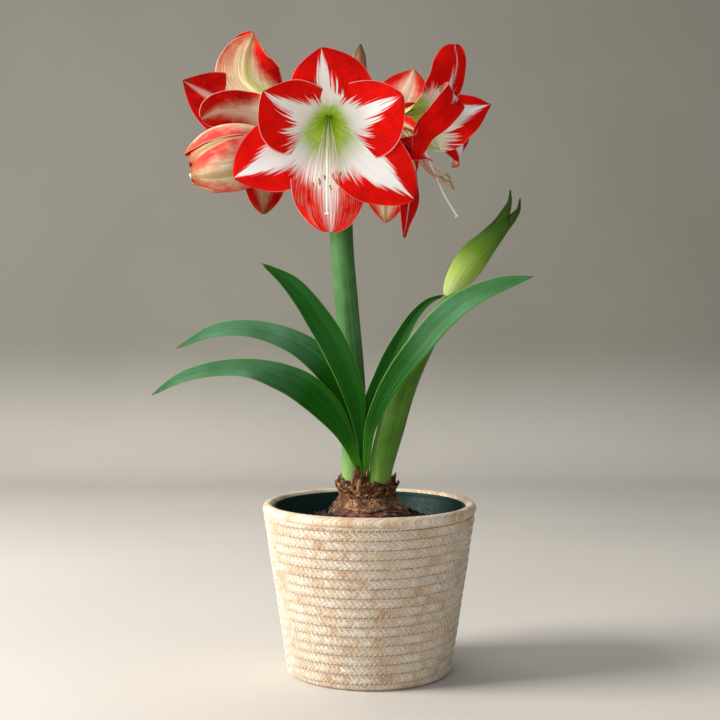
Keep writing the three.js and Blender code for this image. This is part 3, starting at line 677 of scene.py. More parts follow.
    def stem_skin(self, name: str, low: str, high: str, hazy: str) -> bpy.types.Material:
        """Smooth hollow scape or flower stalk, paler low down, with a waxy bloom higher up."""
        n = Finish(name, Gloss(specular=0.14))
        across, along = n.surface()
        coarse, fine = self.streaks(n, n.wave(across), along, 9.0, 3.0)
        body = n.mix(n.step(along, 0.08, 0.5), low, high)
        body = n.mix(coarse * 0.3, body, hazy)
        body = n.mix(self.clouds(n, 14.0) * 0.25, body, hazy)
        body = n.mix(fine * 0.15, body, "#2f5f1f")
        return n.finish(body, coarse * 0.12 + 0.38, coarse + fine, 0.15)

    def spathe_skin(self) -> bpy.types.Material:
        """Closed spathe: pale base, yellow-green middle and dark green tips, finely veined."""
        n = Finish("spathe_skin", Gloss(specular=0.15))
        across, along = n.surface()
        coarse, fine = self.streaks(n, n.wave(across), along, 12.0, 2.0)
        colour = n.ramp(along, (0, "#c6d890"), (0.2, "#a3c150"), (0.42, "#668f14"), (0.62, "#356203"),
                        (1, "#183a02"))
        colour = n.mix(coarse * 0.25, colour, "#4f7d1c")
        colour = n.mix(fine * n.ramp(along, (0.2, 0.18), (0.7, 0.04)), colour, "#d5dd9c")
        return n.finish(colour, coarse * 0.12 + 0.42, coarse + fine, 0.18)

    def dry_skin(self, name: str, light: str, dark: str, shine: float) -> bpy.types.Material:
        """Dry papery plant skin, streaked along its fibres."""
        n = Finish(name, Gloss(specular=0.4, coat=shine))
        across, along = n.surface()
        coarse, fine = self.streaks(n, n.wave(across) + across, along, 16.0, 3.5, n.value("skin_seed"))
        patches = self.clouds(n, 10.0, n.value("skin_seed"))
        colour = n.mix(coarse, dark, light)
        colour = n.mix(n.step(patches, 0.35, 0.75) * 0.75, colour, dark)
        colour = n.mix(fine * 0.5, colour, "#24120b")
        colour = n.mix(n.step(self.clouds(n, 6.0, 4.0), 0.8, 1.0) * 0.5, colour, "#c9a888")
        return n.finish(colour, patches * 0.25 + 0.4, coarse + fine, 0.7)

    def straw(self, name: str, slant: float) -> bpy.types.Material:
        """Plaited straw: each strand its own tone, with fibres and stained patches, and painted shade in the
        gaps between strands, along the row seams and in slanted creases.

        Args:
            name: name of the material.
            slant: how far a strand leans over a row, in strands.

        Returns:
            The material.
        """
        n = Finish(name, Gloss(specular=0.3, sheen=0.1))
        across, along = n.surface()
        row = n.math("FLOOR", along)
        height = along - row
        turns = across + row
        lean = n.math("ABSOLUTE", height * 2.0 - 1.0)
        drift = n.noise((turns * 45.0, row * 5.0, 0.0), 1)
        phase = turns * float(STRANDS) + lean * slant + drift * 1.5
        strand = n.math("FLOOR", phase)
        inside = phase - strand
        cell = {"Vector": n.vector(strand, row, 1.0)}
        chance = n.made("Value", "TexWhiteNoise", cell, noise_dimensions="3D")
        fibre = n.step(n.noise((phase * 4.0, along, chance), 3), 0.3, 0.7)
        tone_map = (chance - 0.5) * 0.11 + n.noise((turns * 20.0, row * 7.0, 2.0), 4)
        colour = n.ramp(tone_map, (0.3, "#c69a70"), (0.41, "#dec7a8"), (0.5, "#e9dac4"), (0.6, "#f2e8da"),
                        (0.72, "#d3bb9a"))
        stain = n.noise((turns * 16.0, row * 3.0, 0.0), 3)
        colour = n.mix(n.step(stain, 0.55, 0.7) * 0.7, colour, "#c58a5a")
        colour = n.mix(n.step(stain, 0.4, 0.28) * 0.5, colour, "#b5a995")
        # Painted shade: thin slanted dark lines where the straw creases.
        crease_shade = n.step(n.noise((along * 1.6 + turns * 150.0, along * 0.8, 5.0), 2), 0.66, 0.74)
        colour = n.mix(crease_shade * 0.6, colour, "#835a33")
        colour = n.mix(fibre * 0.42, colour, "#b0906a")
        # Painted shade: dark lines in the gaps between strands, and broken dark lines along the seams between
        # rows.
        gap = 1.0 - n.step(n.math("MINIMUM", inside, 1.0 - inside), 0.0, 0.14)
        seam = n.step(lean, 0.78, 0.96)
        broken_seam_shade = n.step(n.noise((turns * 40.0, row, 3.0), 2), 0.25, 0.6)
        colour = n.mix(gap * chance * 0.4, colour, "#7d5a38")
        colour = n.mix(seam * broken_seam_shade * 0.85, colour, "#6b451f")
        return n.finish(colour, fibre * 0.2 + 0.62, fibre * 0.5 - gap, 0.5)

    def thread(self) -> bpy.types.Material:
        """White twisted sewing thread."""
        n = Finish("white_thread", Gloss(specular=0.3, sheen=0.2))
        across, along = n.surface()
        twist = n.math("SINE", along * 9000.0 + across * TURN)
        shade = n.step(twist, -1.0, 1.0)
        colour = n.mix(shade * 0.3, "#f7efe4", "#ddd0bf")
        colour = n.mix(self.clouds(n, 5.0) * 0.2, colour, "#e0d5c2")
        return n.finish(colour, shade * 0.2 + 0.6, shade, 0.1)

    def pot_plastic(self) -> bpy.types.Material:
        """Dark green moulded plastic, dusty and smeared with soil."""
        n = Finish("pot_plastic", Gloss(specular=0.12))
        dust = self.clouds(n, 16.0)
        fine = self.clouds(n, 2.5, 7.0)
        colour = n.mix(dust * 0.5, "#0c2a29", "#153b3a")
        smear = n.step(fine, 0.72, 0.95) * (dust * 0.6 + 0.2)
        colour = n.mix(smear, colour, "#3b2c22")
        return n.finish(colour, fine * 0.18 + 0.46, fine, 0.08)

    def earth(self) -> bpy.types.Material:
        """Dark potting soil with paler fibres and grit."""
        n = Finish("potting_soil", Gloss(specular=0.25))
        crumbs = self.clouds(n, 2.2)
        grit = self.clouds(n, 0.8, 3.0)
        colour = n.mix(crumbs, "#1a100b", "#3b271b")
        colour = n.mix(n.step(grit, 0.75, 1.0) * 0.6, colour, "#7a5a40")
        return n.finish(colour, grit * 0.2 + 0.78, crumbs + grit, 0.6)

    def thread_like(self, name: str, low: str, high: str) -> bpy.types.Material:
        """Filament or style: one tone at its root, another at its tip, finely streaked."""
        n = Finish(name, Gloss(specular=0.4, subsurface=0.1))
        across, along = n.surface()
        coarse, fine = self.streaks(n, across, along, 3.0, 8.0)
        colour = n.mix(n.step(along, 0.1, 0.8), low, high)
        colour = n.mix(coarse * 0.25, colour, "#c9d08a")
        return n.finish(colour, fine * 0.15 + 0.4, fine, 0.05)

    def pollen(self) -> bpy.types.Material:
        """Yellow anther, grainy with pollen."""
        n = Finish("anther_pollen", Gloss(specular=0.2))
        grain = self.clouds(n, 0.5)
        groove = n.step(n.math("ABSOLUTE", n.wave(n.surface()[0])), 0.0, 0.35)
        colour = n.mix(grain, "#94701a", "#cda540")
        colour = n.mix(groove * -0.6 + 0.6, colour, "#5e4410")
        return n.finish(colour, grain * 0.2 + 0.7, grain, 0.15)

    def bud_skin(self) -> bpy.types.Material:
        """Small shut bud: pinkish tan with a dark green midline and an olive side."""
        n = Finish("bud_skin", Gloss(specular=0.4))
        across, along = n.surface()
        coarse, fine = self.streaks(n, n.wave(across), along, 10.0, 2.0)
        three = n.math("ABSOLUTE", n.math("COSINE", across * (3 * math.pi)))
        colour = n.mix(n.step(three, 0.35, 0.9), "#5f6b2b", "#b5795a")
        colour = n.mix(n.step(three, 0.3, 0.0) * 0.9, colour, "#24400f")
        colour = n.mix(coarse * 0.3, colour, "#b05e4c")
        colour = n.mix(n.ramp(along, (0, 0.8), (0.3, 0)), colour, "#93a85a")
        colour = n.mix(n.ramp(along, (0.8, 0), (1, 0.8)), colour, "#2c3a16")
        return n.finish(colour, fine * 0.15 + 0.42, coarse + fine, 0.25)

    def floor(self) -> bpy.types.Material:
        """Plain pale floor with a trace of unevenness."""
        n = Finish("pale_floor", Gloss(specular=0.2))
        haze = self.clouds(n, 400.0)
        height = n.step(n.split(n.place())[2], 0.0, 0.35)
        colour = n.mix(height, n.mix(haze, "#d2cec7", "#cdc9c2"), n.mix(haze, "#939188", "#8f8d84"))
        return n.finish(colour, haze * 0.05 + 0.7, self.clouds(n, 3.0), 0.02)


# ---------- basket, pot and soil ----------
BASKET_HEIGHT = 152.0
BASKET_BASE_R = 71.5
RIM_R = 91.0
RIM_ROLL = 4.8
ROWS = 17
STRANDS = 112
FLOOR_TOP = 5.0
POT_TOP = 149.4
POT_WALL = 1.4
SOIL_AT_WALL = 127.5
SOIL_AT_BULB = 146.0
SOIL_EDGE = 38.9
SOIL_SOCKET = [[42.9, 133.7], [46.2, 124], [47.6, 112], [44, 98], [35, 84], [19, 70.6], [2, 65.4]]
RIM_LEAN = 0.033
LINING_BASE_R = 65.5
LINING_FLARE = 20.6
LINING_TOP = 147.0


def lining_radius(z: Array | float) -> Array | float:
    """Inner radius of the basket at a height."""
    return LINING_BASE_R + LINING_FLARE * (z - FLOOR_TOP) / (LINING_TOP - FLOOR_TOP)


def leaned(rings: Array, weight: Array | float = 1.0) -> Array:
    """Points moved so that the rim dips to the front and rises at the back, none at the base."""
    moved = rings.copy()
    moved[..., 2] += RIM_LEAN * rings[..., 1] * rings[..., 2] / BASKET_HEIGHT * weight
    return moved


@dataclass
class Basket:
    """Coiled basket of plaited straw, sewn with white thread, with a rolled rim."""

    palette: Palette
    columns: int = 560
    steps_in_row: int = 8
    bulge: float = 1.7
    strand_relief: float = 0.2
    slant: float = 1.3
    rim_wraps: int = 84
    rim_slant: float = 4.0
    stitches_in_turn: int = 112
    thread_r: float = 0.36
    inset: float = 0.8
    foot: float = 1.6
    dents: float = 0.35

    @property
    def wall_top(self) -> float:
        """Height where the plaited wall meets the rim."""
        return BASKET_HEIGHT - 2 * RIM_ROLL

    @property
    def pitch(self) -> float:
        """Height of one row."""
        return self.wall_top / ROWS

    def wall_radius(self, turn: Array, z: Array) -> Array:
        """Radius of the plaited wall.

        Args:
            turn: share of a turn round the basket.
            z: height.

        Returns:
            Radius at each place.
        """
        slope = (RIM_R + RIM_ROLL - 2.4 - BASKET_BASE_R) / self.wall_top
        rows = z / self.pitch - turn
        share = rows - np.floor(rows)
        lean = np.abs(2 * share - 1)
        phase = STRANDS * (turn + np.floor(rows)) + self.slant * lean
        rib = np.abs(np.sin(math.pi * phase)) ** 0.5
        over = 0.5 + 0.5 * np.sin(math.pi * np.floor(phase) * 0.77 + rows * 2.0)
        swell = np.abs(np.sin(math.pi * share)) ** 0.55
        plait = swell * (self.bulge - self.strand_relief + self.strand_relief * rib + 0.2 * over)
        edge = smooth(z, 0, 3)
        uneven = self.dents * ripple(upright(RIM_R - 1, TURN * turn, z), 46, 0.4)
        foot = self.foot * (1 - edge)
        return BASKET_BASE_R + slope * z - self.inset - foot + edge * plait + uneven

    def build(self) -> None:
        """Makes the wall, the rim and the stitching."""
        self.wall()
        self.rim()
        self.stitching()

    def wall(self) -> None:
        """The plaited wall with its plain inside and its flat coiled base."""
        turn = np.arange(self.columns) / self.columns
        even = np.ones_like(turn)
        heights = np.linspace(0, self.wall_top + 1, ROWS * self.steps_in_row)
        outer = self.wall_radius(turn[None, :], heights[:, None])
        under = np.array([2.0, 14, 26, 38, 50, 62, 68])
        inner_z = np.array([self.wall_top + 1, FLOOR_TOP, FLOOR_TOP])
        inner_r = np.array([lining_radius(inner_z[0]), lining_radius(FLOOR_TOP), 2.0])
        radius = np.vstack([under[:, None] * even, outer, inner_r[:, None] * even])
        z = np.concatenate([np.zeros(len(under)), heights, inner_z])[:, None]
        rings = upright(radius, TURN * turn, z)
        across = np.linspace(0, 1, self.columns + 1)
        rows = np.concatenate([-(BASKET_BASE_R - under) / self.pitch, heights / self.pitch,
                               ROWS + (self.wall_top - inner_z[:2]) / self.pitch, [2 * ROWS + 9.0]])
        uv = joined(across[None, :], rows[:, None] - across[None, :])
        Draft().add_rings(leaned(rings), uv).build(
            "basket_wall", "basket", [self.palette.straw("plaited_straw", self.slant)], ("basket",))

    def rim(self) -> None:
        """The rolled rim, wrapped with slanted straws."""
        sides = 18
        turn = np.arange(self.columns) / self.columns
        roll = around(sides)
        phase = self.rim_wraps * turn[:, None] + self.rim_slant * np.abs(0.5 * np.cos(roll))[None, :]
        wrap = np.abs(np.sin(math.pi * phase)) ** 0.5
        size = RIM_ROLL - 0.2 + 0.3 * wrap
        uneven = 0.5 * np.sin(TURN * turn * 3 + 1)[:, None]
        radius = RIM_R + size * np.cos(roll)[None, :]
        z = BASKET_HEIGHT - RIM_ROLL - 0.2 + size * np.sin(roll)[None, :] + 0.3 * uneven
        rings = upright(radius, (TURN * turn)[:, None], z)
        share = np.linspace(0, 1, sides + 1)
        uv = joined(turn[:, None] * self.rim_wraps / STRANDS, 0.5 + 0.25 * np.cos(TURN * share)[None, :])
        Draft().add_rings(leaned(rings), uv, looped=True).build(
            "basket_rim", "basket", [self.palette.straw("wrapped_straw", self.rim_slant)])

    def stitching(self) -> None:
        """One thread that zigzags over the seam, all the way up."""
        turns = np.arange(0.35, ROWS - 0.2, 1 / (self.stitches_in_turn * 4))
        swing = np.abs(((turns * self.stitches_in_turn) % 1) * 2 - 1) * 2 - 1
        jitter = 0.35 * np.sin(turns * 131.0) + 0.25 * np.sin(turns * 57.0)
        z = turns * self.pitch + swing * 3.0 + jitter
        share = turns % 1
        beside = np.maximum(self.wall_radius(share, z - 0.6), self.wall_radius(share, z + 0.6))
        crest = self.wall_radius(share, turns * self.pitch + 2.6)
        radius = np.maximum(beside, crest - 0.8) + self.thread_r * 0.95
        line = upright(radius, TURN * share, z)
        rings = tube_rings(line, np.full(len(line), self.thread_r), 4, 0.8, (0, 0, 1))
        Draft().add_rings(leaned(rings)).build("basket_stitching", "basket", [self.palette.thread()])


@dataclass
class InnerPot:
    """Plain moulded pot inside the basket."""

    palette: Palette
    sides: int = 160

    def outer(self, z: float) -> float:
        """Outer radius at a height."""
        return float(lining_radius(z)) - CLEAR

    def build(self) -> None:
        """Makes the pot with its rounded lip and a step below it."""
        floor = FLOOR_TOP + CLEAR
        inside = floor + 1.6
        top = self.outer(POT_TOP - 3) - 0.1
        wall = self.outer(POT_TOP - 3) - POT_WALL
        profile = [[2, floor], [self.outer(FLOOR_TOP) - 1, floor], [self.outer(floor + 2) - 0.1, floor + 2],
                   [top, POT_TOP - 3], [top, POT_TOP - 0.8], [top - 0.25, POT_TOP - 0.2],
                   [top - 0.7, POT_TOP], [wall + 0.3, POT_TOP - 0.1], [wall - 0.2, POT_TOP - 0.7],
                   [wall - 0.3, POT_TOP - 4.5], [wall - 0.9, POT_TOP - 5.6],
                   [self.outer(inside) - POT_WALL, inside], [2, inside]]
        Draft().add_rings(leaned(turned_rings(profile, self.sides, 2))).build(
            "pot_shell", "inner_pot", [self.palette.pot_plastic()], ("inner_pot",))


@dataclass
class SoilBed:
    """Potting soil round the bulb, with loose crumbs on it and on the pot's wall."""

    palette: Palette
    sides: int = 220
    bands: int = 46
    clods: int = 900
    wall_crumbs: int = 90
    seed: int = 11

    def wall(self, z: float) -> float:
        """Radius of the soil against the pot."""
        return float(lining_radius(z)) - CLEAR - POT_WALL - CLEAR - 0.5

    def leaned(self, points: Array, radius: Array | float) -> Array:
        """Points of the soil at a radius, leaned as the rim is, but not next to the bulb."""
        return leaned(points, smooth(radius, 48, 64))

    def surface(self, radius: Array, angle: Array) -> Array:
        """Height of the soil."""
        rim = self.wall(SOIL_AT_WALL)
        f = np.clip((rim - radius) / (rim - SOIL_EDGE), 0, 1)
        spot = upright(radius, angle, 0.0)
        rough = 0.9 * ripple(spot, 17, 1.0) + 0.7 * ripple(spot, 7.3, 2.0) + 0.5 * ripple(spot, 3.1, 3.0)
        return SOIL_AT_WALL + (SOIL_AT_BULB - 9 - SOIL_AT_WALL) * f + 6 * f * f + rough

    def build(self) -> None:
        """Makes the bed and its crumbs."""
        finish = self.palette.earth()
        angle = around(self.sides)[None, :]
        floor = FLOOR_TOP + 2 * CLEAR + 1.6
        even = np.ones_like(angle)
        low = np.array([[2, floor], [self.wall(floor), floor], [self.wall(SOIL_AT_WALL), SOIL_AT_WALL - 3]])
        radius = np.linspace(self.wall(SOIL_AT_WALL), SOIL_EDGE, self.bands)[:, None] * even
        socket = np.array(SOIL_SOCKET)
        radii = np.vstack([low[:, :1] * even, radius, socket[:, :1] * even])
        z = np.vstack([low[:, 1:] * even, self.surface(radius, angle), socket[:, 1:] * even])
        rings = self.leaned(upright(radii, angle, z), radii)
        Draft().add_rings(rings).build("soil_bed", "soil", [finish], ("soil",))
        self.crumbs(finish)

    def crumbs(self, finish: bpy.types.Material) -> None:
        """Loose crumbs on the soil and a few stuck to the pot's wall."""
        rng = np.random.default_rng(self.seed)
        draft = Draft()
        for i in range(self.clods + self.wall_crumbs):
            angle = rng.uniform(0, TURN)
            size = rng.uniform(0.5, 1.1, 3) * rng.choice([0.8, 1.2, 1.9], p=[0.5, 0.35, 0.15])
            if i >= self.clods:
                size = np.minimum(size * 0.7, 0.9)
                z = POT_TOP - 3 - rng.power(2.0) * 17
                radius = float(lining_radius(z)) - CLEAR - POT_WALL - 0.45
            else:
                radius = math.sqrt(rng.uniform(42.0**2, (self.wall(SOIL_AT_WALL) - 1.5) ** 2))
                z = float(self.surface(np.array(radius), np.array(angle))) + 0.3 * float(size.mean())
            turn, _ = np.linalg.qr(rng.normal(size=(3, 3)))
            centre = self.leaned(upright(radius, angle, z), radius)
            draft.add_lump(centre, size, turn, rng.uniform(0, 9))
        draft.build("soil_crumbs", "soil", [finish])


# ---------- bulb ----------
NECK_SHIFT = -2.5
CUP_FLOOR = 159.0
BULB_BODY = [[2, 66], [14, 66], [18, 71], [34, 84], [43, 98], [46.5, 112], [45.2, 124],
             [41.8, 134], [37.2, 142], [30.5, 149], [25.4, 154], [23.2, 157.5], [23.4, 160.5],
             [25, 165], [26, 170]]


@dataclass
class Bulb:
    """Bulb with dry papery tunics and a ragged neck that holds the shoots."""

    palette: Palette
    sides: int = 180
    flaps: int = 30
    seed: int = 5
    flap_thick: float = 0.28
    flap_rows: int = 14
    flap_columns: int = 12
    cup_r: tuple = (24.6, 23.6, 22.2, 21.6, 2.0)
    cup_z: tuple = (171.0, 166, 161.5, CUP_FLOOR, CUP_FLOOR)
    cup_torn: tuple = (0.9, 0.2, 0, 0, 0)
    shreds: tuple = ((159, 184, -1.99, 0.22), (160, 180, -1.72, 0.2), (160, 175.5, -0.7, 0.3),
                     (160, 175.5, -2.7, 0.3))

    def skin_radius(self, z: Array, angle: Array) -> Array:
        """Radius of the bulb's skin, with soft folds that run up it."""
        profile = np.asarray(BULB_BODY)
        radius = np.interp(z, profile[1:, 1], profile[1:, 0])
        neck = smooth(z, 140, 156)
        fold = 0.55 * np.sin(9 * angle + 0.12 * z) + 0.35 * np.sin(23 * angle - 0.2 * z)
        band = 0.7 * np.sin(1.35 * z + 2.2 * np.sin(2 * angle))
        band = band + 0.4 * np.sin(2.9 * z - 3 * np.sin(3 * angle))
        return radius + fold * (1 - 0.5 * neck) * smooth(z, 90, 130) * 0.7 + band * neck * 0.9

    def shifted(self, radius: Array, angle: Array, z: Array) -> Array:
        """Points round the bulb, whose middle moves to the side towards the neck."""
        return joined(NECK_SHIFT * smooth(z, 138, 158) + radius * np.cos(angle), radius * np.sin(angle), z)

    def build(self) -> None:
        """Makes the bulb and the torn tunics round its neck."""
        angle = around(self.sides)[None, :]
        heights = np.concatenate([np.linspace(66.1, 120, 14), np.linspace(122, 171, 50)])[:, None]
        radius = self.skin_radius(heights, angle)
        torn = 2.0 * np.sin(3 * angle + 1) + 1.3 * np.sin(7 * angle) + 0.9 * np.sin(19 * angle)
        z = heights + smooth(heights, 167, 171) * torn
        cup_r, cup_z, cup_torn = (np.array(row)[:, None] for row in (self.cup_r, self.cup_z, self.cup_torn))
        radii = np.vstack([radius, cup_r * np.ones_like(angle)])
        z = np.vstack([z, cup_z + cup_torn * torn])
        rings = self.shifted(radii, angle, z)
        bulb = self.palette.dry_skin("bulb_skin", "#96583a", "#451f14", 0.15)
        dry = self.palette.dry_skin("dry_tunic", "#d08f56", "#4f2916", 0.0)
        draft = Draft().add_rings(rings, values={"skin_seed": 0.3})
        self.tunics(draft)
        draft.build("bulb_tunics", "bulb", [bulb, dry], ("bulb",))

    def tunics(self, draft: Draft) -> None:
        """Torn papery flaps wrapped round the neck, each a thin curved blade."""
        rng = np.random.default_rng(self.seed)
        rows, cols = self.flap_rows, self.flap_columns
        for i in range(self.flaps):
            low = rng.uniform(140, 160)
            high = min(low + rng.uniform(8, 22), rng.uniform(168, 175))
            start = rng.uniform(0, TURN)
            width = rng.uniform(0.5, 1.3)
            lean = rng.uniform(-0.5, 0.5)
            lift = rng.uniform(0.3, 1.1)
            curl = rng.uniform(0.0, 2.6)
            taper = 0.35
            if i >= self.flaps - len(self.shreds):
                low, high, start, width = self.shreds[self.flaps - 1 - i]
                lean, curl, taper = 0.12, 1.2, 0.7
            t = np.linspace(0, 1, rows)[:, None]
            q = np.linspace(-1, 1, cols)[None, :]
            ragged = 1 + 0.12 * np.sin(7 * q + i) + 0.1 * np.sin(13 * q + 2 * i)
            z = low + (high - low) * t * ragged + q * lean * 6
            angle = start + q * width * (1 - taper * t**2) + lean * t
            out = lift + curl * smooth(t, 0.6, 1) + 0.5 * np.abs(q) ** 4 * rng.uniform(0.2, 1.6)
            out = out + 0.35 * np.sin(9 * t + 4 * q + i)
            faces = []
            for side in (1, -1):
                r = self.skin_radius(z, angle) + out + side * self.flap_thick / 2
                faces.append(self.shifted(r, angle, z))
            rings = np.concatenate([faces[0], faces[1][:, ::-1]], axis=1)
            share = np.concatenate([np.linspace(0, 0.4, cols), np.linspace(0.4, 0, cols), [0]])
            uv = joined(share[None, :], 0.5 * t)
            draft.add_rings(rings, uv, paint=1, values={"skin_seed": 1.0 + 0.7 * i})


# ---------- scapes ----------
STEM_R = 10.8
UMBEL = (-25, 18, 462)
PEDICEL_R = 3.6
OVARY_R = 5.2
OVARY_LENGTH = 17
BUD_BASE = np.array([-16.0, 52, 509])
BUD_TIP = np.array([-8.0, 52, 577])
BUD_R = 9.6
TUBE_R = 4.4
SCAPE_TALL = [[-12.6, 3, 159.6], [-12.6, 3, 163], [-14.4, 3, 175], [-14, 4, 198], [-14, 7, 248],
              [-21, 9, 333], [-24.8, 12, 379], [-26, 15, 425], [-25, 18, 458]]
SCAPE_SHORT = [[9.1, 3, 160], [9.1, 3, 163.5], [10, 3, 175], [12, 3, 189], [19, 4, 216],
               [31, 5, 256], [46, 5, 288], [61, 6, 314], [79, 7, 338]]
SPATHE = [[72, 7, 336], [78, 7, 348.7], [87, 8, 362], [97, 8, 375.5], [107, 8, 386.5], [117, 8, 398],
          [124.5, 8, 408]]
SPATHE_R = [6.5, 10.6, 13.7, 13.5, 10.4, 8.5, 6.9]
SPATHE_TIPS = [[[116, 6, 402], [123, 5, 412.5], [126.7, 4.5, 422], [127.2, 4, 432.8]],
               [[121, 9.5, 397], [129.5, 10, 407.8], [135.3, 10.5, 415.4], [137, 11, 426]]]
SPATHE_TIP_R = [4.6, 4.2, 2.0, 0.6]
SCAPE_SIDES = 48
BRACT_SIDES = 28
SPATHE_ROWS, SPATHE_SIDES = 70, 64
TIP_ROWS, TIP_SIDES = 26, 28
UMBEL_HEAD = [[-25, 18, 452], [-25, 18, 458], [-25, 18, 466]]
BRACTS = [[[-30, 20, 458], [-34, 34, 459], [-38, 52, 450], [-40, 66, 432]],
          [[-20, 20, 458], [-17, 34, 457], [-14, 50, 446], [-13, 60, 428]]]


@dataclass
class Stalk:
    """Stalk and ovary that carry one flower or bud."""

    base: Array
    along: Array
    sides: int = 24
    steps: int = 40

    def rings(self) -> Array:
        """Rings from the umbel to the flower's tube."""
        end = self.base - self.along * (CLEAR + 0.1)
        back = self.base - self.along * (OVARY_LENGTH + 8)
        start = np.array(UMBEL, float)
        middle = start + (back - start) * 0.55 + np.array([0, 0, 6])
        t = np.linspace(0, 1, self.steps)
        line = spline([start, middle, back, end], t)
        radius = np.interp(t, [0, 0.55, 0.72, 0.8, 0.9, 1], [4.4, PEDICEL_R, 4.2, OVARY_R, OVARY_R, 4])
        rings = tube_rings(line, radius, self.sides, reference=(0.6, 0.2, -0.77))
        ovary = smooth(t, 0.66, 0.76) * (1 - smooth(t, 0.93, 1))
        lobes = 1 - 0.09 * ovary[:, None] * (0.5 + 0.5 * np.cos(3 * around(self.sides)))[None, :]
        return drawn_in(rings, line, lobes)


@dataclass
class TallScape:
    """Tall scape with its umbel, flower stalks and withered bracts."""

    palette: Palette
    stalks: list[Stalk]

    def bract(self, line: list, seed: float) -> Array:
        """Rings of one withered, rolled bract."""
        t = np.linspace(0, 1, 40)
        wide = np.interp(t, [0, 0.4, 1], [5, 7, 1])
        rings = tube_rings(spline(line, t), wide, BRACT_SIDES, 0.1, (0, 0, 1))
        rings[..., 2] += 0.9 * np.sin(2 * around(BRACT_SIDES)[None, :] + 5 * t[:, None] + seed)
        return rings

    def build(self) -> None:
        """Makes the scape as one piece with all that it carries."""
        t = np.linspace(0, 1, 120)
        radius = np.interp(t, [0, 0.05, 0.9, 1], [9, STEM_R, STEM_R - 0.3, STEM_R + 0.6])
        draft = Draft().add_rings(tube_rings(spline(SCAPE_TALL, t), radius, SCAPE_SIDES, 0.9))
        t = np.linspace(0, 1, 16)
        size = np.interp(t, [0, 0.5, 0.8, 1], [9, 11, 9.5, 3])
        draft.add_rings(tube_rings(spline(UMBEL_HEAD, t), size, SCAPE_SIDES, 0.92), paint=1)
        for stalk in self.stalks:
            draft.add_rings(stalk.rings(), paint=1)
        for seed, line in enumerate(BRACTS):
            draft.add_rings(self.bract(line, seed), paint=2, values={"skin_seed": 3.0 + seed})
        finishes = [self.palette.stem_skin("tall_scape_skin", "#b4dc7c", "#35642a", "#6a9c64"),
                    self.palette.stem_skin("stalk_skin", "#5f9440", "#7fa83f", "#a5c06a"),
                    self.palette.dry_skin("withered_bract", "#c9a274", "#8a6238", 0.0)]
        draft.build("scape_tall_stem", "scape_tall", finishes, ("scape_tall",))


@dataclass
class ShortScape:
    """Short scape whose spathe is still shut, with two pointed tips."""

    palette: Palette

    def build(self) -> None:
        """Makes the scape, the spathe and its tips."""
        t = np.linspace(0, 1, 90)
        radius = np.interp(t, [0, 0.07, 0.28, 0.42, 0.5, 0.62, 0.8, 1],
                           [9.2, 10.4, 10, 11.6, 12.2, 12, 9.6, 7])
        draft = Draft().add_rings(tube_rings(spline(SCAPE_SHORT, t), radius, SCAPE_SIDES, 0.9))
        t = np.linspace(0, 1, SPATHE_ROWS)
        size = np.interp(t, np.linspace(0, 1, len(SPATHE_R)), SPATHE_R)
        taper = np.interp(t, [0, 0.02, 0.06, 0.9, 0.95, 0.98, 1], [0.74, 0.9, 1, 1, 0.9, 0.7, 0.3])
        size = evened(size, 4) * taper
        rings = tube_rings(spline(SPATHE, t), size, SPATHE_SIDES, 0.72)
        draft.add_rings(rings, ring_map(SPATHE_ROWS, SPATHE_SIDES, 0.0, 0.8), paint=1)
        t = np.linspace(0, 1, TIP_ROWS)
        size = np.interp(t, [0, 1 / 3, 2 / 3, 1], SPATHE_TIP_R)
        uv = ring_map(TIP_ROWS, TIP_SIDES, 0.75, 1.0)
        for line in SPATHE_TIPS:
            draft.add_rings(tube_rings(spline(line, t), size, TIP_SIDES, 0.6), uv, paint=1)
        finishes = [self.palette.stem_skin("short_scape_skin", "#9ccb52", "#3a6a12", "#76a344"),
                    self.palette.spathe_skin()]
        draft.build("scape_short_stem", "scape_short", finishes, ("scape_short",))


# ---------- leaves ----------
@dataclass
class Leaf:
    """Strap leaf that arches from the bulb's neck."""

    name: str
    line: list
    half: list
    tilt: float
    channel: float
    # Strength of the blade's painted grey-green sheen along its arch, partly waxy bloom.
    haze: float = 0.3
    thick: float = 1.8
    rows: int = 130
    columns: int = 17

    def build(self, finish: bpy.types.Material) -> None:
        """Makes the blade with thin rounded margins, a keel and faint ribs."""
        t = np.linspace(0, 1, self.rows)
        middle = spline(self.line, t)
        tangent = unit(np.gradient(middle, axis=0))
        lean = np.radians(self.tilt) * smooth(t, 0.15, 0.7)
        front = np.stack([np.zeros_like(t), -np.cos(lean), np.sin(lean)], axis=-1)
        side = unit(np.cross(front, tangent))
        normal = unit(np.cross(tangent, side))
        half = np.interp(t, np.linspace(0, 1, len(self.half)), self.half)
        half = evened(half, 5) * (1 - smooth(t, 0.975, 1) * 0.8)
        rise = self.channel * half * smooth(t, 0.12, 0.4)
        q = np.linspace(-1, 1, self.columns)
        depth = np.interp(t, [0, 0.12, 0.3, 0.8, 1], [0.65, 0.65, 1, 0.8, 0.4]) * self.thick
        body = depth[:, None] * (1 - 0.72 * np.abs(q[None, :]) ** 3) * 0.5
        ribs = 0.1 * np.cos(q * math.pi * 5)[None, :] * smooth(t, 0.1, 0.3)[:, None]
        shape = middle[:, None] + side[:, None] * (half[:, None] * q)[..., None]
        groove = 0.25 * np.exp(-((q / 0.16) ** 2))[None, :]
        lift = rise[:, None] * q**2 - groove * smooth(t, 0.1, 0.3)[:, None]
        face = shape + normal[:, None] * (lift + body + ribs)[..., None]
        back = shape + normal[:, None] * (lift - body)[..., None]
        rings = np.concatenate([face, back[:, ::-1]], axis=1)
        across = (q + 1) / 2
        columns = np.concatenate([across, across[::-1], across[:1]])
        uv = joined(columns[None, :], t[:, None])
        seed = float(self.name[-1]) * 1.7
        Draft().add_rings(rings, uv, values={"leaf_seed": seed, "leaf_haze": self.haze}).build(
            self.name + "_blade", self.name, [finish], (self.name,))


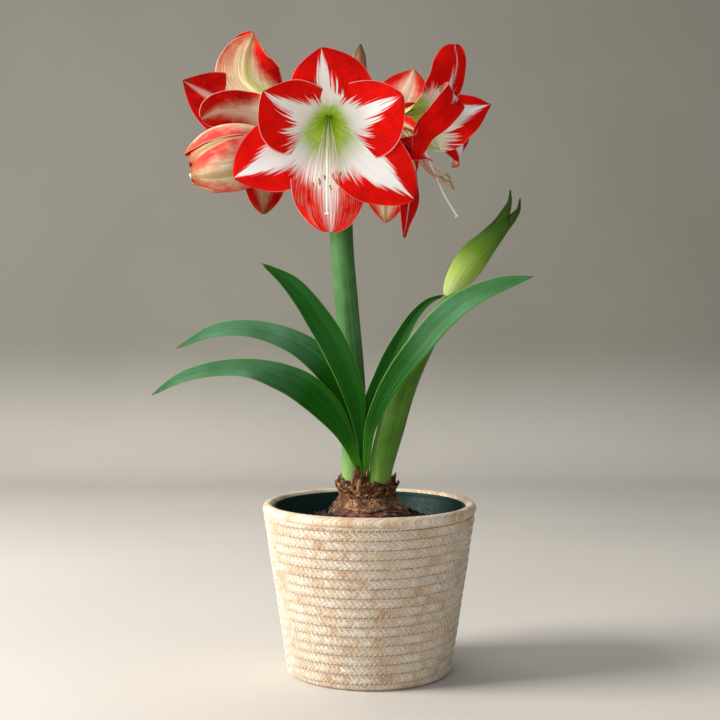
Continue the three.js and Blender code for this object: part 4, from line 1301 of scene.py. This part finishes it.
LEAVES = [
    Leaf("leaf_1", [[-6.5, -13, 159.4], [-7, -13.4, 176], [-8, -15.2, 208], [-14, -19, 248], [-27, -23, 282],
                    [-42, -25, 309], [-68, -27, 344], [-95, -27, 364]],
         [2.2, 2.2, 3.4, 9.8, 12, 12, 8.5, 0.9], 20, 0.22, 0.1),
    Leaf("leaf_2", [[-7.5, -9.3, 159.4], [-8, -9.4, 176], [-13, -9.5, 216], [-28, -11, 258], [-53, -14, 285],
                    [-77, -18, 298], [-108, -22, 306], [-137, -25, 304], [-170, -28, 289]],
         [2.2, 2.2, 6.5, 12.5, 12.5, 11.6, 9.2, 7.5, 0.9], 35, 0.2, 1.0),
    Leaf("leaf_3", [[-6.5, -16.5, 159.8], [-8, -17.3, 176], [-20, -22, 209], [-35, -28, 233], [-57, -35, 253],
                    [-83, -41, 265], [-108, -45, 271], [-136, -48, 270], [-162, -53, 263], [-186, -58, 249]],
         [2.2, 2.2, 6.4, 12, 15, 14, 11, 9, 6.5, 0.9], 45, 0.18, 0.9),
    Leaf("leaf_4", [[-3, -11.3, 159.6], [-3, -11.4, 176], [-4, -12.9, 217], [1, -15.2, 243], [10, -15.5, 262],
                    [19, -15, 281], [28.5, -13, 300], [39.5, -10, 318], [52.5, -9, 331], [66.5, -9, 337]],
         [2, 2, 3.2, 5.6, 7.5, 8, 6, 4.5, 3, 0.9], 0, 0.4, 0.1),
    Leaf("leaf_5", [[-3.5, -14.8, 159.4], [-3, -15.4, 176], [0.2, -18.6, 217], [11.5, -22, 246],
                    [26, -25, 269], [42.5, -27.5, 290], [60, -31, 311], [77, -34, 326], [96, -37, 337],
                    [117, -41, 345], [141, -46, 351]],
         [2, 2, 5, 7.4, 9.6, 11, 11.5, 11.3, 9.6, 7.4, 0.9], 30, 0.2, 0.6),
]


# ---------- blooms ----------
INNER_STEP = 1.2
FLARE_AT = [0, 0.2, 0.4, 0.6, 0.8, 1]
CUP_AT = [0.25, 0.45, 0.65, 0.85, 1]
CLAW_CURL = 0.1
COLOURING = ("star", "comb", "edge", "blush", "olive", "soft", "aslant")
THROAT_DEPTH = 2.4
TUBE_REFERENCE = (0.3, 0.2, 0.93)
THREAD_ROOTS = (150, 210, 250, 290, 330, 30)
ANTHER_SEED = 23
TIP_CROWDING = 1.25
TIP_END = 0.994
MOST_BEND = 1.9
LEAST_CURL = 1e-6
MIDRIB_GROOVE = 0.55
VEIN_HEIGHT = 0.12
TEPAL_EDGE = 0.34
TEPAL_BODY = 0.5


class Opening(Enum):
    """How far a bloom has opened: opening angles and cross curvature, base to tip."""

    OPEN = ((10, 22, 45, 66, 80, 92), (0.02, 0.01, 0.004, -0.006, -0.01))
    SHUT = ((12, 30, 26, 6, -22, -48), (0.05, 0.036, 0.036, 0.04, 0.06))

    @property
    def flare(self) -> tuple:
        """Opening angles from the bloom's axis, in degrees."""
        return self.value[0]

    @property
    def cup(self) -> tuple:
        """Cross curvature past the tube, per millimetre."""
        return self.value[1]


@dataclass(frozen=True)
class Tepal:
    """One tepal: its place in the bloom, its form and how its colours spread."""

    azimuth: float
    length: float
    half_width: float
    factor: float
    left: float = 1.0
    right: float = 1.0
    point: float = 0.8
    peak: float = 0.6
    wave: float = 1.6
    star: float = 1.0
    comb: float = 0.5
    edge: float = 0.3
    blush: float = 0.5
    olive: float = 1.0
    soft: float = 0.0
    aslant: float = 0.0

    def outline(self, s: Array) -> Array:
        """Share of the full half width at s, widest at the peak."""
        rise = self.point * self.peak / (1 - self.peak)
        top = self.peak**rise * (1 - self.peak) ** self.point
        claw = np.interp(s, [0, 0.16, 0.4], [1, 0.66, 1])
        return claw * (0.04 + 0.96 * s) ** rise * (1 - s) ** self.point / top

    def midrib(self, s: Array, flare: tuple, start: float) -> tuple:
        """Midrib in the tepal's own radial plane.

        Args:
            s: shares of its length.
            flare: opening angles at even shares, in degrees.
            start: distance of its root from the axis.

        Returns:
            Places as [out, along] and opening angles.
        """
        steps = np.linspace(0, 1, 97)
        angle = np.radians(np.interp(steps, FLARE_AT, flare)) * self.factor
        way = joined(np.sin(angle), np.cos(angle))
        moves = (way[:-1] + way[1:]) / 2 * self.length / (len(steps) - 1)
        places = np.vstack([[start, 0.0], np.array([start, 0.0]) + np.cumsum(moves, axis=0)])
        out = np.interp(s, steps, places[:, 0])
        along = np.interp(s, steps, places[:, 1])
        return joined(out, along), np.interp(s, steps, angle)

    def spine(self, s: Array, axes: tuple, base: Array, opening: Opening, start: float) -> tuple:
        """Middle line of the blade with its side and inner face directions and its cross curvature.

        Args:
            s: shares of its length.
            axes: right, top and along of the bloom.
            base: root of the bloom's tube.
            opening: how far the bloom has opened.
            start: distance of the tepal's root from the axis.

        Returns:
            Places, sides, normals and curvatures.
        """
        out, along = ray(axes, self.azimuth), axes[2]
        path, angle = self.midrib(s, opening.flare, start)
        inward = np.cos(angle)[:, None] * -out + np.sin(angle)[:, None] * along
        side = np.broadcast_to(ray(axes, self.azimuth + 90), inward.shape)
        blend = smooth(s, 0.18, 0.35)
        curl = (1 - blend) / np.maximum(path[:, 0], 3) + blend * np.interp(s, CUP_AT, opening.cup)
        return base + path[:, :1] * out + path[:, 1:] * along, side, inward, curl

    def rings(self, axes: tuple, base: Array, opening: Opening, start: float,
              rows: int, columns: int) -> tuple:
        """Rings round the blade, inner face first.

        Args:
            axes: right, top and along of the bloom.
            base: root of the bloom's tube.
            opening: how far the bloom has opened.
            start: distance of the tepal's root from the axis.
            rows: rings along the tepal.
            columns: points across each face.

        Returns:
            The rings and their surface map.
        """
        s = (1 - (1 - np.linspace(0, 1, rows)) ** TIP_CROWDING) * TIP_END
        q = np.sin(np.linspace(-1, 1, columns) * math.pi / 2)
        middle, side, normal, curl = self.spine(s, axes, base, opening, start)
        curl = np.where(np.abs(curl) < LEAST_CURL, LEAST_CURL, curl)[:, None]
        wide = self.half_width * self.outline(s)[:, None] * q * np.where(q < 0, self.left, self.right)
        bend = np.clip(curl * wide, -MOST_BEND, MOST_BEND)
        place = middle[:, None] + side[:, None] * (np.sin(bend) / curl)[..., None]
        place = place + normal[:, None] * ((1 - np.cos(bend)) / curl)[..., None]
        facing = normal[:, None] * np.cos(bend)[..., None] - side[:, None] * np.sin(bend)[..., None]
        frill = np.clip((s - 0.3) / 0.3, 0, 1)[:, None] * np.abs(q) ** 2.5
        swing = np.sin(TURN * (2.5 * s[:, None] + 0.31 * self.azimuth / 57 + 0.37 * (q > 0)))
        groove = MIDRIB_GROOVE * np.exp(-((q / 0.13) ** 2)) * (np.sin(math.pi * s) ** 0.5)[:, None]
        veins = VEIN_HEIGHT * np.cos(q * math.pi * 9) * (1 - q**2) * smooth(s, 0.1, 0.3)[:, None]
        place = place + facing * (self.wave * frill * swing - groove + veins)[..., None]
        thick = (TEPAL_EDGE + TEPAL_BODY * (1 - q**2) * (1 - 0.6 * s[:, None]))[..., None]
        face = place + facing * thick / 2
        back = place - facing * thick / 2
        share = (q + 1) / 2
        uv = joined(np.concatenate([share, share[::-1], share[:1]])[None, :], s[:, None])
        return np.concatenate([face, back[:, ::-1]], axis=1), uv


@dataclass(frozen=True)
class FreeTepal(Tepal):
    """A tepal that leaves its bloom's even round: its line and its facing are given."""

    line: tuple = ()
    faces: tuple = ()

    def spine(self, s: Array, axes: tuple, base: Array, opening: Opening, start: float) -> tuple:
        """Middle line through the tepal's own places, as Tepal.spine gives it."""
        middle = spline([base + np.array(place) for place in self.line], s)
        facing = np.array(self.faces, float)
        at = np.linspace(0, 1, len(facing))
        hint = np.stack([np.interp(s, at, facing[:, k]) for k in range(3)], axis=-1)
        tangent = unit(np.gradient(middle, axis=0))
        side = unit(np.cross(tangent, hint))
        normal = np.cross(side, tangent)
        blend = smooth(s, 0.18, 0.35)
        curl = (1 - blend) * CLAW_CURL + blend * np.interp(s, CUP_AT, opening.cup)
        return middle, side, normal, curl


@dataclass(frozen=True)
class Stamens:
    """Six filaments and a style that leave a bloom's tube together."""

    spread: float
    length: float
    style: float
    flare: tuple
    style_flare: tuple = ()
    filament_r: float = 0.6
    anther: float = 3.2
    callus: float = 0.0
    blushed: bool = False

    def thread(self, axes: tuple, base: Array, azimuth: float, reach: float, root: float | None) -> Array:
        """Middle line of one thread.

        Args:
            axes: right, top and along of the bloom.
            base: place where the threads start.
            azimuth: direction that it bends to, in degrees.
            reach: its length.
            root: angle of its root on the ring of threads, or None for the middle one.

        Returns:
            Points from root to tip.
        """
        s = np.linspace(0, 1, 40)
        flare = self.style_flare if root is None and self.style_flare else self.flare
        path, _ = Tepal(azimuth, reach, 1, 1.0).midrib(s, flare, 0.0)
        ring = np.zeros_like(s) if root is None else np.interp(s, [0, 0.6, 1], [1.4, 2.2, 0.5])
        line = base + path[:, :1] * ray(axes, azimuth) + (path[:, 1:] + 0.4) * axes[2]
        line = line + ring[:, None] * ray(axes, root or 0.0)
        index = np.round(np.array(FLARE_AT) * (len(s) - 1)).astype(int)
        return spline(line[index], s)

    def build(self, name: str, axes: tuple, base: Array, finishes: list, rng: np.random.Generator) -> None:
        """Makes the threads with their anthers and the three-lobed stigma.

        Args:
            name: the bloom's name.
            axes: right, top and along of the bloom.
            base: root of the bloom's tube.
            finishes: filament, anther, style and blushed filament materials.
            rng: source of the small differences between anthers.
        """
        start = base + axes[2] * (THROAT_DEPTH + CLEAR)
        draft = Draft()
        for i, root in enumerate(THREAD_ROOTS):
            azimuth = -90 + self.spread * (i - 2.5) / 2.5
            line = self.thread(axes, start, azimuth, self.length * (1 - 0.07 * (i % 3)), root)
            radius = np.interp(np.linspace(0, 1, len(line)), [0, 0.7, 1], [0.75, self.filament_r, 0.4])
            draft.add_rings(tube_rings(line[:-1], radius[:-1], 10, reference=TUBE_REFERENCE))
            self.add_anther(draft, line[-1], unit(line[-1] - line[-4]), rng)
        line = self.thread(axes, start, -90, self.style, None)
        draft.add_rings(tube_rings(line, np.full(len(line), 0.9), 12, reference=TUBE_REFERENCE), paint=2)
        self.add_stigma(draft, line[-1], unit(line[-1] - line[-4]))
        if self.callus:
            self.add_callus(draft, start + axes[1] * 4.4 + axes[2] * 5.0, axes)
        filament, pollen, style, blushed = finishes
        skins = [blushed if self.blushed else filament, pollen, style]
        draft.build(f"stamens_{name}_threads", f"stamens_{name}", skins, (f"stamens_{name}",))

    def add_callus(self, draft: Draft, centre: Array, axes: tuple) -> None:
        """Adds the small white swelling over the root of the filaments."""
        t = np.linspace(-1, 1, 17)[:, None]
        line = centre + axes[0] * t * self.callus * 1.5 - axes[1] * t**2 * self.callus * 0.3
        dome = np.sqrt(np.clip(1 - (0.98 * t[:, 0]) ** 2, 0.01, 1))
        radius = self.callus * dome * (1 + 0.15 * np.cos(9 * t[:, 0]))
        draft.add_rings(tube_rings(line, radius, 16, reference=tuple(axes[2])), paint=2)

    def add_anther(self, draft: Draft, tip: Array, way: Array, rng: np.random.Generator) -> None:
        """Adds a curved anther held at its middle, across the filament's tip."""
        lengthwise = unit(way + 0.55 * unit(np.cross(way, rng.normal(size=3))))
        t = np.linspace(-1, 1, 16)[:, None]
        line = tip + lengthwise * t * self.anther + np.cross(way, lengthwise) * (0.5 - 0.9 * t**2)
        radius = 1.05 * np.sqrt(np.clip(1 - (0.96 * t[:, 0]) ** 4, 0.01, 1))
        rings = tube_rings(line, radius, 14, 0.75, tuple(way))
        pinch = 1 - 0.22 * np.cos(2 * around(14) - math.pi) ** 8
        draft.add_rings(drawn_in(rings, line, pinch[None, :]), paint=1)

    def add_stigma(self, draft: Draft, tip: Array, way: Array) -> None:
        """Adds three short lobes that spread and curl back at the end of the style."""
        first = unit(np.cross(way, np.array([0.2, 0.5, 0.8])))
        second = np.cross(way, first)
        for k in range(3):
            angle = TURN * k / 3 + 0.4
            out = first * math.cos(angle) + second * math.sin(angle)
            t = np.linspace(0, 1, 10)[:, None]
            line = tip - way * 0.6 + way * (1.8 * t - 0.9 * t**2) + out * (2.3 * t**1.6)
            radius = np.interp(t[:, 0], [0, 0.6, 1], [0.7, 0.85, 0.55])
            near = tuple(unit(first + 0.3 * second + way))
            draft.add_rings(tube_rings(line, radius, 10, reference=near), paint=2)


@dataclass(frozen=True)
class Bloom:
    """One flower: its tube, three outer and three inner tepals, and its stamens."""

    name: str
    base: tuple
    axis: tuple
    outer: tuple
    inner: tuple
    stamens: Stamens
    opening: Opening = Opening.OPEN
    rows: int = 58
    columns: int = 27

    @property
    def axes(self) -> tuple:
        """Right, top and along as unit vectors."""
        along = unit(np.array(self.axis, float))
        up = np.array([0.0, 0.0, 1.0])
        top = unit(up - along * along[2])
        return np.cross(top, along), top, along

    def stalk(self) -> Stalk:
        """The stalk that carries this bloom."""
        return Stalk(np.array(self.base, float), self.axes[2])

    def build(self, petals: list, threads: list, rng: np.random.Generator) -> None:
        """Makes the tepals and the stamens.

        Args:
            petals: inner and outer face materials, and the tube's.
            threads: filament, anther, style and blushed filament materials.
            rng: source of the small differences between anthers.
        """
        base = np.array(self.base, float)
        draft = Draft()
        t = np.linspace(0, 1, 8)[:, None]
        line = base + self.axes[2] * (0.1 + (THROAT_DEPTH - 0.2) * t)
        tube = tube_rings(line, np.full(8, TUBE_R + 0.3), 32, reference=TUBE_REFERENCE)
        draft.add_rings(tube, paint=2)
        for k, shape in enumerate(self.outer + self.inner):
            start = TUBE_R if k < len(self.outer) else TUBE_R - INNER_STEP
            rings, uv = shape.rings(self.axes, base, self.opening, start, self.rows, self.columns)
            paint = np.array([0] * self.columns + [1] * (self.columns - 1) + [0])
            values = {f"petal_{label}": getattr(shape, label) for label in COLOURING}
            values["petal_seed"] = 0.37 * shape.azimuth + 3 * k
            draft.add_rings(rings, uv, paint, values)
        draft.build(f"bloom_{self.name}_petals", f"bloom_{self.name}", petals, (f"bloom_{self.name}",))
        self.stamens.build(self.name, self.axes, base, threads, rng)


LEFT_UPRIGHT = ((-2.2, 0.7, 4.2), (-16, 15, 22), (-30, 27, 38), (-40, 33, 52), (-41, 33, 72), (-34, 25, 91))
LEFT_BEHIND = ((-2, 7, 6), (-17, 23, 29), (-31, 41, 48), (-40, 49, 66), (-44, 49, 83), (-37, 43, 98))
LEFT_NEAR = ((-4.6, 0.1, 0.4), (-15, 3, 7), (-30, 5, 11), (-47, 1, 12), (-64, -7, 10), (-79, -17, 1))
RIGHT_UPRIGHT = ((1.6, -1.6, 3.6), (21, -10, 6), (44, -19, 10), (58, -26, 24), (64, -31, 44), (63, -30, 63))
RIGHT_WIDE = ((2.8, 2.2, 0.8), (28, -4, 0), (49, -10, -2), (67, -12, 4), (84, -8, 10), (99, -2, 15))
RIGHT_FAR = ((2, 2, -3), (28, -4, -8), (49, -8, -15), (66, -4, -20), (70, 6, -31), (63, 14, -41))
RIGHT_DROP = ((0, -1, -4.4), (14, -9, -20), (20, -24, -42), (23, -36, -65), (20, -42, -90), (16, -44, -113))
RIGHT_NEAR = ((-0.2, -4.9, -0.6), (26, -14, 6), (54, -28, 17), (62, -42, 14), (49, -56, -6),
              (34, -60, -22), (27, -62, -46))
RIGHT_LOW = ((-0.5, -3.8, -3), (15, -23, -8), (28, -42, -19), (25, -50, -38), (16, -54, -37), (9, -50, -31))
HANGING = (4, 10, 20, 32, 34, 10)
BLOOMS = [
    Bloom("front", (-36.5, 0, 498), (0, -0.92, -0.4),
          (Tepal(93, 110, 30, 0.8, left=1.4, right=0.95, star=0.6, wave=2.6),
           Tepal(207, 118, 31, 1.1, star=1.1),
           Tepal(-38, 124, 32, 1.05, star=1.1)),
          (Tepal(143, 108, 33, 0.7, left=0.8, right=1.2, star=0.66, comb=0.9, edge=0.8),
           Tepal(29, 110, 34, 0.8, left=1.2, right=0.8, star=0.66, comb=0.9, edge=0.8),
           Tepal(-89, 118, 33, 1.1, point=0.5, comb=0.0, edge=0.8, star=0.62, soft=1.0)),
          Stamens(15, 86, 117, (3, 9, 27, 48, 60, 56), callus=1.5)),
    Bloom("left", (-75, 33, 498), (-0.45, 0.88, 0.1),
          (FreeTepal(83, 108, 31, 1, point=1.0, blush=0.42, edge=0.9, aslant=-0.55, line=LEFT_UPRIGHT,
                     faces=((-0.2, 0.5, -0.8), (-0.1, 0.8, -0.5), (0, 1, -0.1), (0.1, 0.9, 0.3))),
           FreeTepal(-5, 100, 19, 1, point=0.5, blush=0.66, olive=0.1, edge=0.9, line=LEFT_NEAR,
                     faces=((-0.3, 0.6, 0.7), (-0.1, 0.95, 0.2), (-0.3, 0.9, 0.2))),
           Tepal(205, 112, 28, 1)),
          (Tepal(25, 122, 30, 1, point=1.1, blush=0.95, olive=0.0),
           FreeTepal(78, 118, 19, 1, blush=1.0, olive=0.0, line=LEFT_BEHIND,
                     faces=((-0.2, 0.5, -0.8), (0, 1, -0.1), (0.1, 0.9, 0.3))),
           Tepal(-90, 108, 24, 1.08, blush=0.55, olive=0.7)),
          Stamens(22, 84, 100, HANGING)),
    Bloom("right", (14, 28, 500), (0.85, -0.42, -0.3),
          (FreeTepal(95, 112, 25, 1, right=0.45, point=0.4, peak=0.62, star=0.1, line=RIGHT_UPRIGHT,
                     faces=((0.3, -0.3, -0.9), (0.35, -0.5, -0.7), (0.4, -0.9, -0.2), (0.35, -0.93, 0.1))),
           FreeTepal(-25, 105, 14, 1, olive=1.0, blush=0.2, line=RIGHT_FAR,
                     faces=((-0.2, -0.6, 0.7), (-0.3, -0.8, 0.3), (0.5, -0.6, -0.3), (0.2, 0.9, -0.3))),
           FreeTepal(205, 100, 18, 1, star=-0.6, blush=1.6, olive=0.0, line=RIGHT_LOW,
                     faces=((0.2, 0.8, 0.5), (0.5, 0.2, 0.8), (-0.1, -0.9, 0.3)))),
          (FreeTepal(150, 150, 12.5, 1, star=-0.6, edge=1.0, comb=0.0, point=0.6, line=RIGHT_NEAR,
                     faces=((0.2, 0.9, 0.2), (0.3, 0.7, 0.5), (0.75, -0.1, 0.6), (0.2, -0.95, 0.2),
                            (0, -1, -0.1))),
           FreeTepal(30, 112, 30, 1, left=0.75, right=0.95, point=1.1, peak=0.42, comb=1.0, line=RIGHT_WIDE,
                     faces=((-0.3, -0.5, -0.8), (-0.3, -0.9, -0.2), (0.1, -0.99, 0.1), (0.3, -0.9, 0.3))),
           FreeTepal(-92, 120, 14, 1, star=0.08, comb=0.2, point=0.5, line=RIGHT_DROP,
                     faces=((0.3, -0.2, 0.9), (0.7, -0.3, 0.6), (0.88, -0.47, 0.1), (0.85, -0.52, 0)))),
          Stamens(20, 94, 118, (4, 14, 48, 50, 24, 0), style_flare=(4, 14, 46, 51, 44, 37), blushed=True)),
    Bloom("back", (3, 45, 485), (0.3, 0.95, 0.1),
          (Tepal(107, 112, 31, 0.83, blush=0.45, olive=0.2), Tepal(-30, 112, 28, 0.85, blush=0.6, olive=0.3),
           Tepal(245, 80, 24, 0.5, blush=0.4)),
          (Tepal(-82, 112, 25, 0.86, blush=0.2, olive=0.9), Tepal(66, 100, 26, 0.86),
           Tepal(148, 85, 24, 0.8)),
          Stamens(22, 84, 100, HANGING)),
    Bloom("opening", (-60, 10, 479), (-0.95, -0.15, -0.28),
          tuple(Tepal(azimuth, 118, 29, 1, point=0.55, wave=0.4, blush=blush, olive=0.8, edge=0.5, soft=0.7)
                for azimuth, blush in ((90, 0.42), (210, 0.2), (-30, 0.3))),
          (Tepal(150, 115, 25, 0.96, wave=0.4, blush=0.5, soft=0.6),
           Tepal(30, 115, 25, 0.96, wave=0.4, blush=0.45, soft=0.5),
           Tepal(-90, 117, 25, 0.96, wave=0.4, blush=0.35, soft=0.7)),
          Stamens(40, 82, 104, (2, 4, 4, 4, 2, 0)), Opening.SHUT),
]


@dataclass
class SmallBud:
    """Small shut bud behind the flowers, of three folded tepals."""

    finish: bpy.types.Material

    def build(self) -> None:
        """Makes the bud with a seam between its tepals."""
        t = np.linspace(0, 1, 60)
        line = BUD_BASE + (BUD_TIP - BUD_BASE) * t[:, None]
        radius = np.interp(t, [0, 0.12, 0.35, 0.6, 0.85, 0.96, 1], [TUBE_R, 4.6, 7, BUD_R, 6.2, 2.4, 0.7])
        rings = tube_rings(line, evened(radius, 2), 60)
        seam = 0.09 * np.exp(-((np.sin(1.5 * around(60)) / 0.22) ** 2))[None, :]
        Draft().add_rings(drawn_in(rings, line, 1 - seam * smooth(t, 0.1, 0.4)[:, None])).build(
            "bud_small_shut", "bud_small", [self.finish], ("bud_small",))


# ---------- studio ----------
@dataclass
class Studio:
    """Camera, pale floor and soft lights."""

    palette: Palette
    eye: tuple = (-0.00855, -1.08, 0.279)
    lens: float = 60.0
    sensor: float = 36.0
    aim: tuple = (0, 0, 0.3)
    air: float = 0.27

    def camera(self) -> None:
        """A level camera that looks along +Y."""
        data = bpy.data.cameras.new("camera")
        data.lens = self.lens
        data.sensor_width = self.sensor
        camera = bpy.data.objects.new("camera", data)
        camera.location = self.eye
        camera.rotation_euler = (math.radians(90), 0, 0)
        bpy.context.scene.collection.objects.link(camera)
        bpy.context.scene.camera = camera

    def floor(self) -> None:
        """A pale floor that sweeps up far behind the object."""
        back, radius, height, half = 1.6, 0.6, 4.0, 4.0
        t = np.linspace(0, math.pi / 2, 16)
        profile = [(-half, 0.0), (0.0, 0.0)]
        profile += [(back + radius * math.sin(a), radius * (1 - math.cos(a))) for a in t]
        profile.append((back + radius, height))
        points = [(x, y, z) for y, z in profile for x in (-half, half)]
        faces = [(2 * i, 2 * i + 1, 2 * i + 3, 2 * i + 2) for i in range(len(profile) - 1)]
        mesh = bpy.data.meshes.new("floor")
        mesh.from_pydata(points, [], faces)
        mesh.polygons.foreach_set("use_smooth", np.ones(len(faces), bool))
        mesh.materials.append(self.palette.floor())
        floor = bpy.data.objects.new("floor", mesh)
        bpy.context.scene.collection.objects.link(floor)

    def light(self, name: str, place: tuple, size: float, power: float, tint: str) -> None:
        """Adds one square soft light aimed at the middle of the plant."""
        data = bpy.data.lights.new(name, "AREA")
        data.size = size
        data.energy = power
        data.color = tone(tint)[:3]
        light = bpy.data.objects.new(name, data)
        light.location = place
        aim = Vector(self.aim) - Vector(place)
        light.rotation_mode = "QUATERNION"
        light.rotation_quaternion = aim.to_track_quat("-Z", "Y")
        bpy.context.scene.collection.objects.link(light)

    def lights(self) -> None:
        """Key light from the front left, a weak fill from the right and even surroundings."""
        self.light("key", (-2.0, -0.45, 1.2), 1.1, 92.0, "#fffaf3")
        self.light("front", (-0.6, -2.2, 0.9), 1.6, 15.0, "#fbfcff")
        self.light("fill", (1.8, -0.9, 0.7), 1.6, 1.5, "#f2f6ff")
        self.light("top", (-0.3, 0.6, 2.1), 1.2, 10.0, "#ffffff")
        world = bpy.data.worlds.new("studio")
        world.use_nodes = True
        background = world.node_tree.nodes["Background"]
        background.inputs[0].default_value = tone("#dfe0e2")
        background.inputs[1].default_value = self.air
        bpy.context.scene.world = world
        bpy.context.scene.view_settings.view_transform = "Standard"


def main() -> None:
    """Builds the studio and every piece, and logs each piece's triangle count."""
    logging.basicConfig(level=logging.INFO, format="%(name)s %(message)s", stream=sys.stdout)
    palette = Palette()
    studio = Studio(palette)
    studio.camera()
    studio.floor()
    studio.lights()
    Basket(palette).build()
    InnerPot(palette).build()
    SoilBed(palette).build()
    Bulb(palette).build()
    bud_way = unit(BUD_TIP - BUD_BASE)
    TallScape(palette, [bloom.stalk() for bloom in BLOOMS] + [Stalk(BUD_BASE, bud_way)]).build()
    ShortScape(palette).build()
    blade = palette.leaf_blade()
    for leaf in LEAVES:
        leaf.build(blade)
    petals = [palette.petal_inside(), palette.petal_back(),
              palette.stem_skin("flower_tube", "#a9bb55", "#b6c46a", "#d3d79a")]
    threads = [palette.thread_like("filament", "#b4cc5e", "#f3f3e4"), palette.pollen(),
               palette.thread_like("style_and_stigma", "#d3dd9a", "#fdfcf8"),
               palette.thread_like("blushed_filament", "#c9a27a", "#d98f80")]
    rng = np.random.default_rng(ANTHER_SEED)
    for bloom in BLOOMS:
        bloom.build(petals, threads, rng)
    SmallBud(palette.bud_skin()).build()


if __name__ == "__main__":
    main()
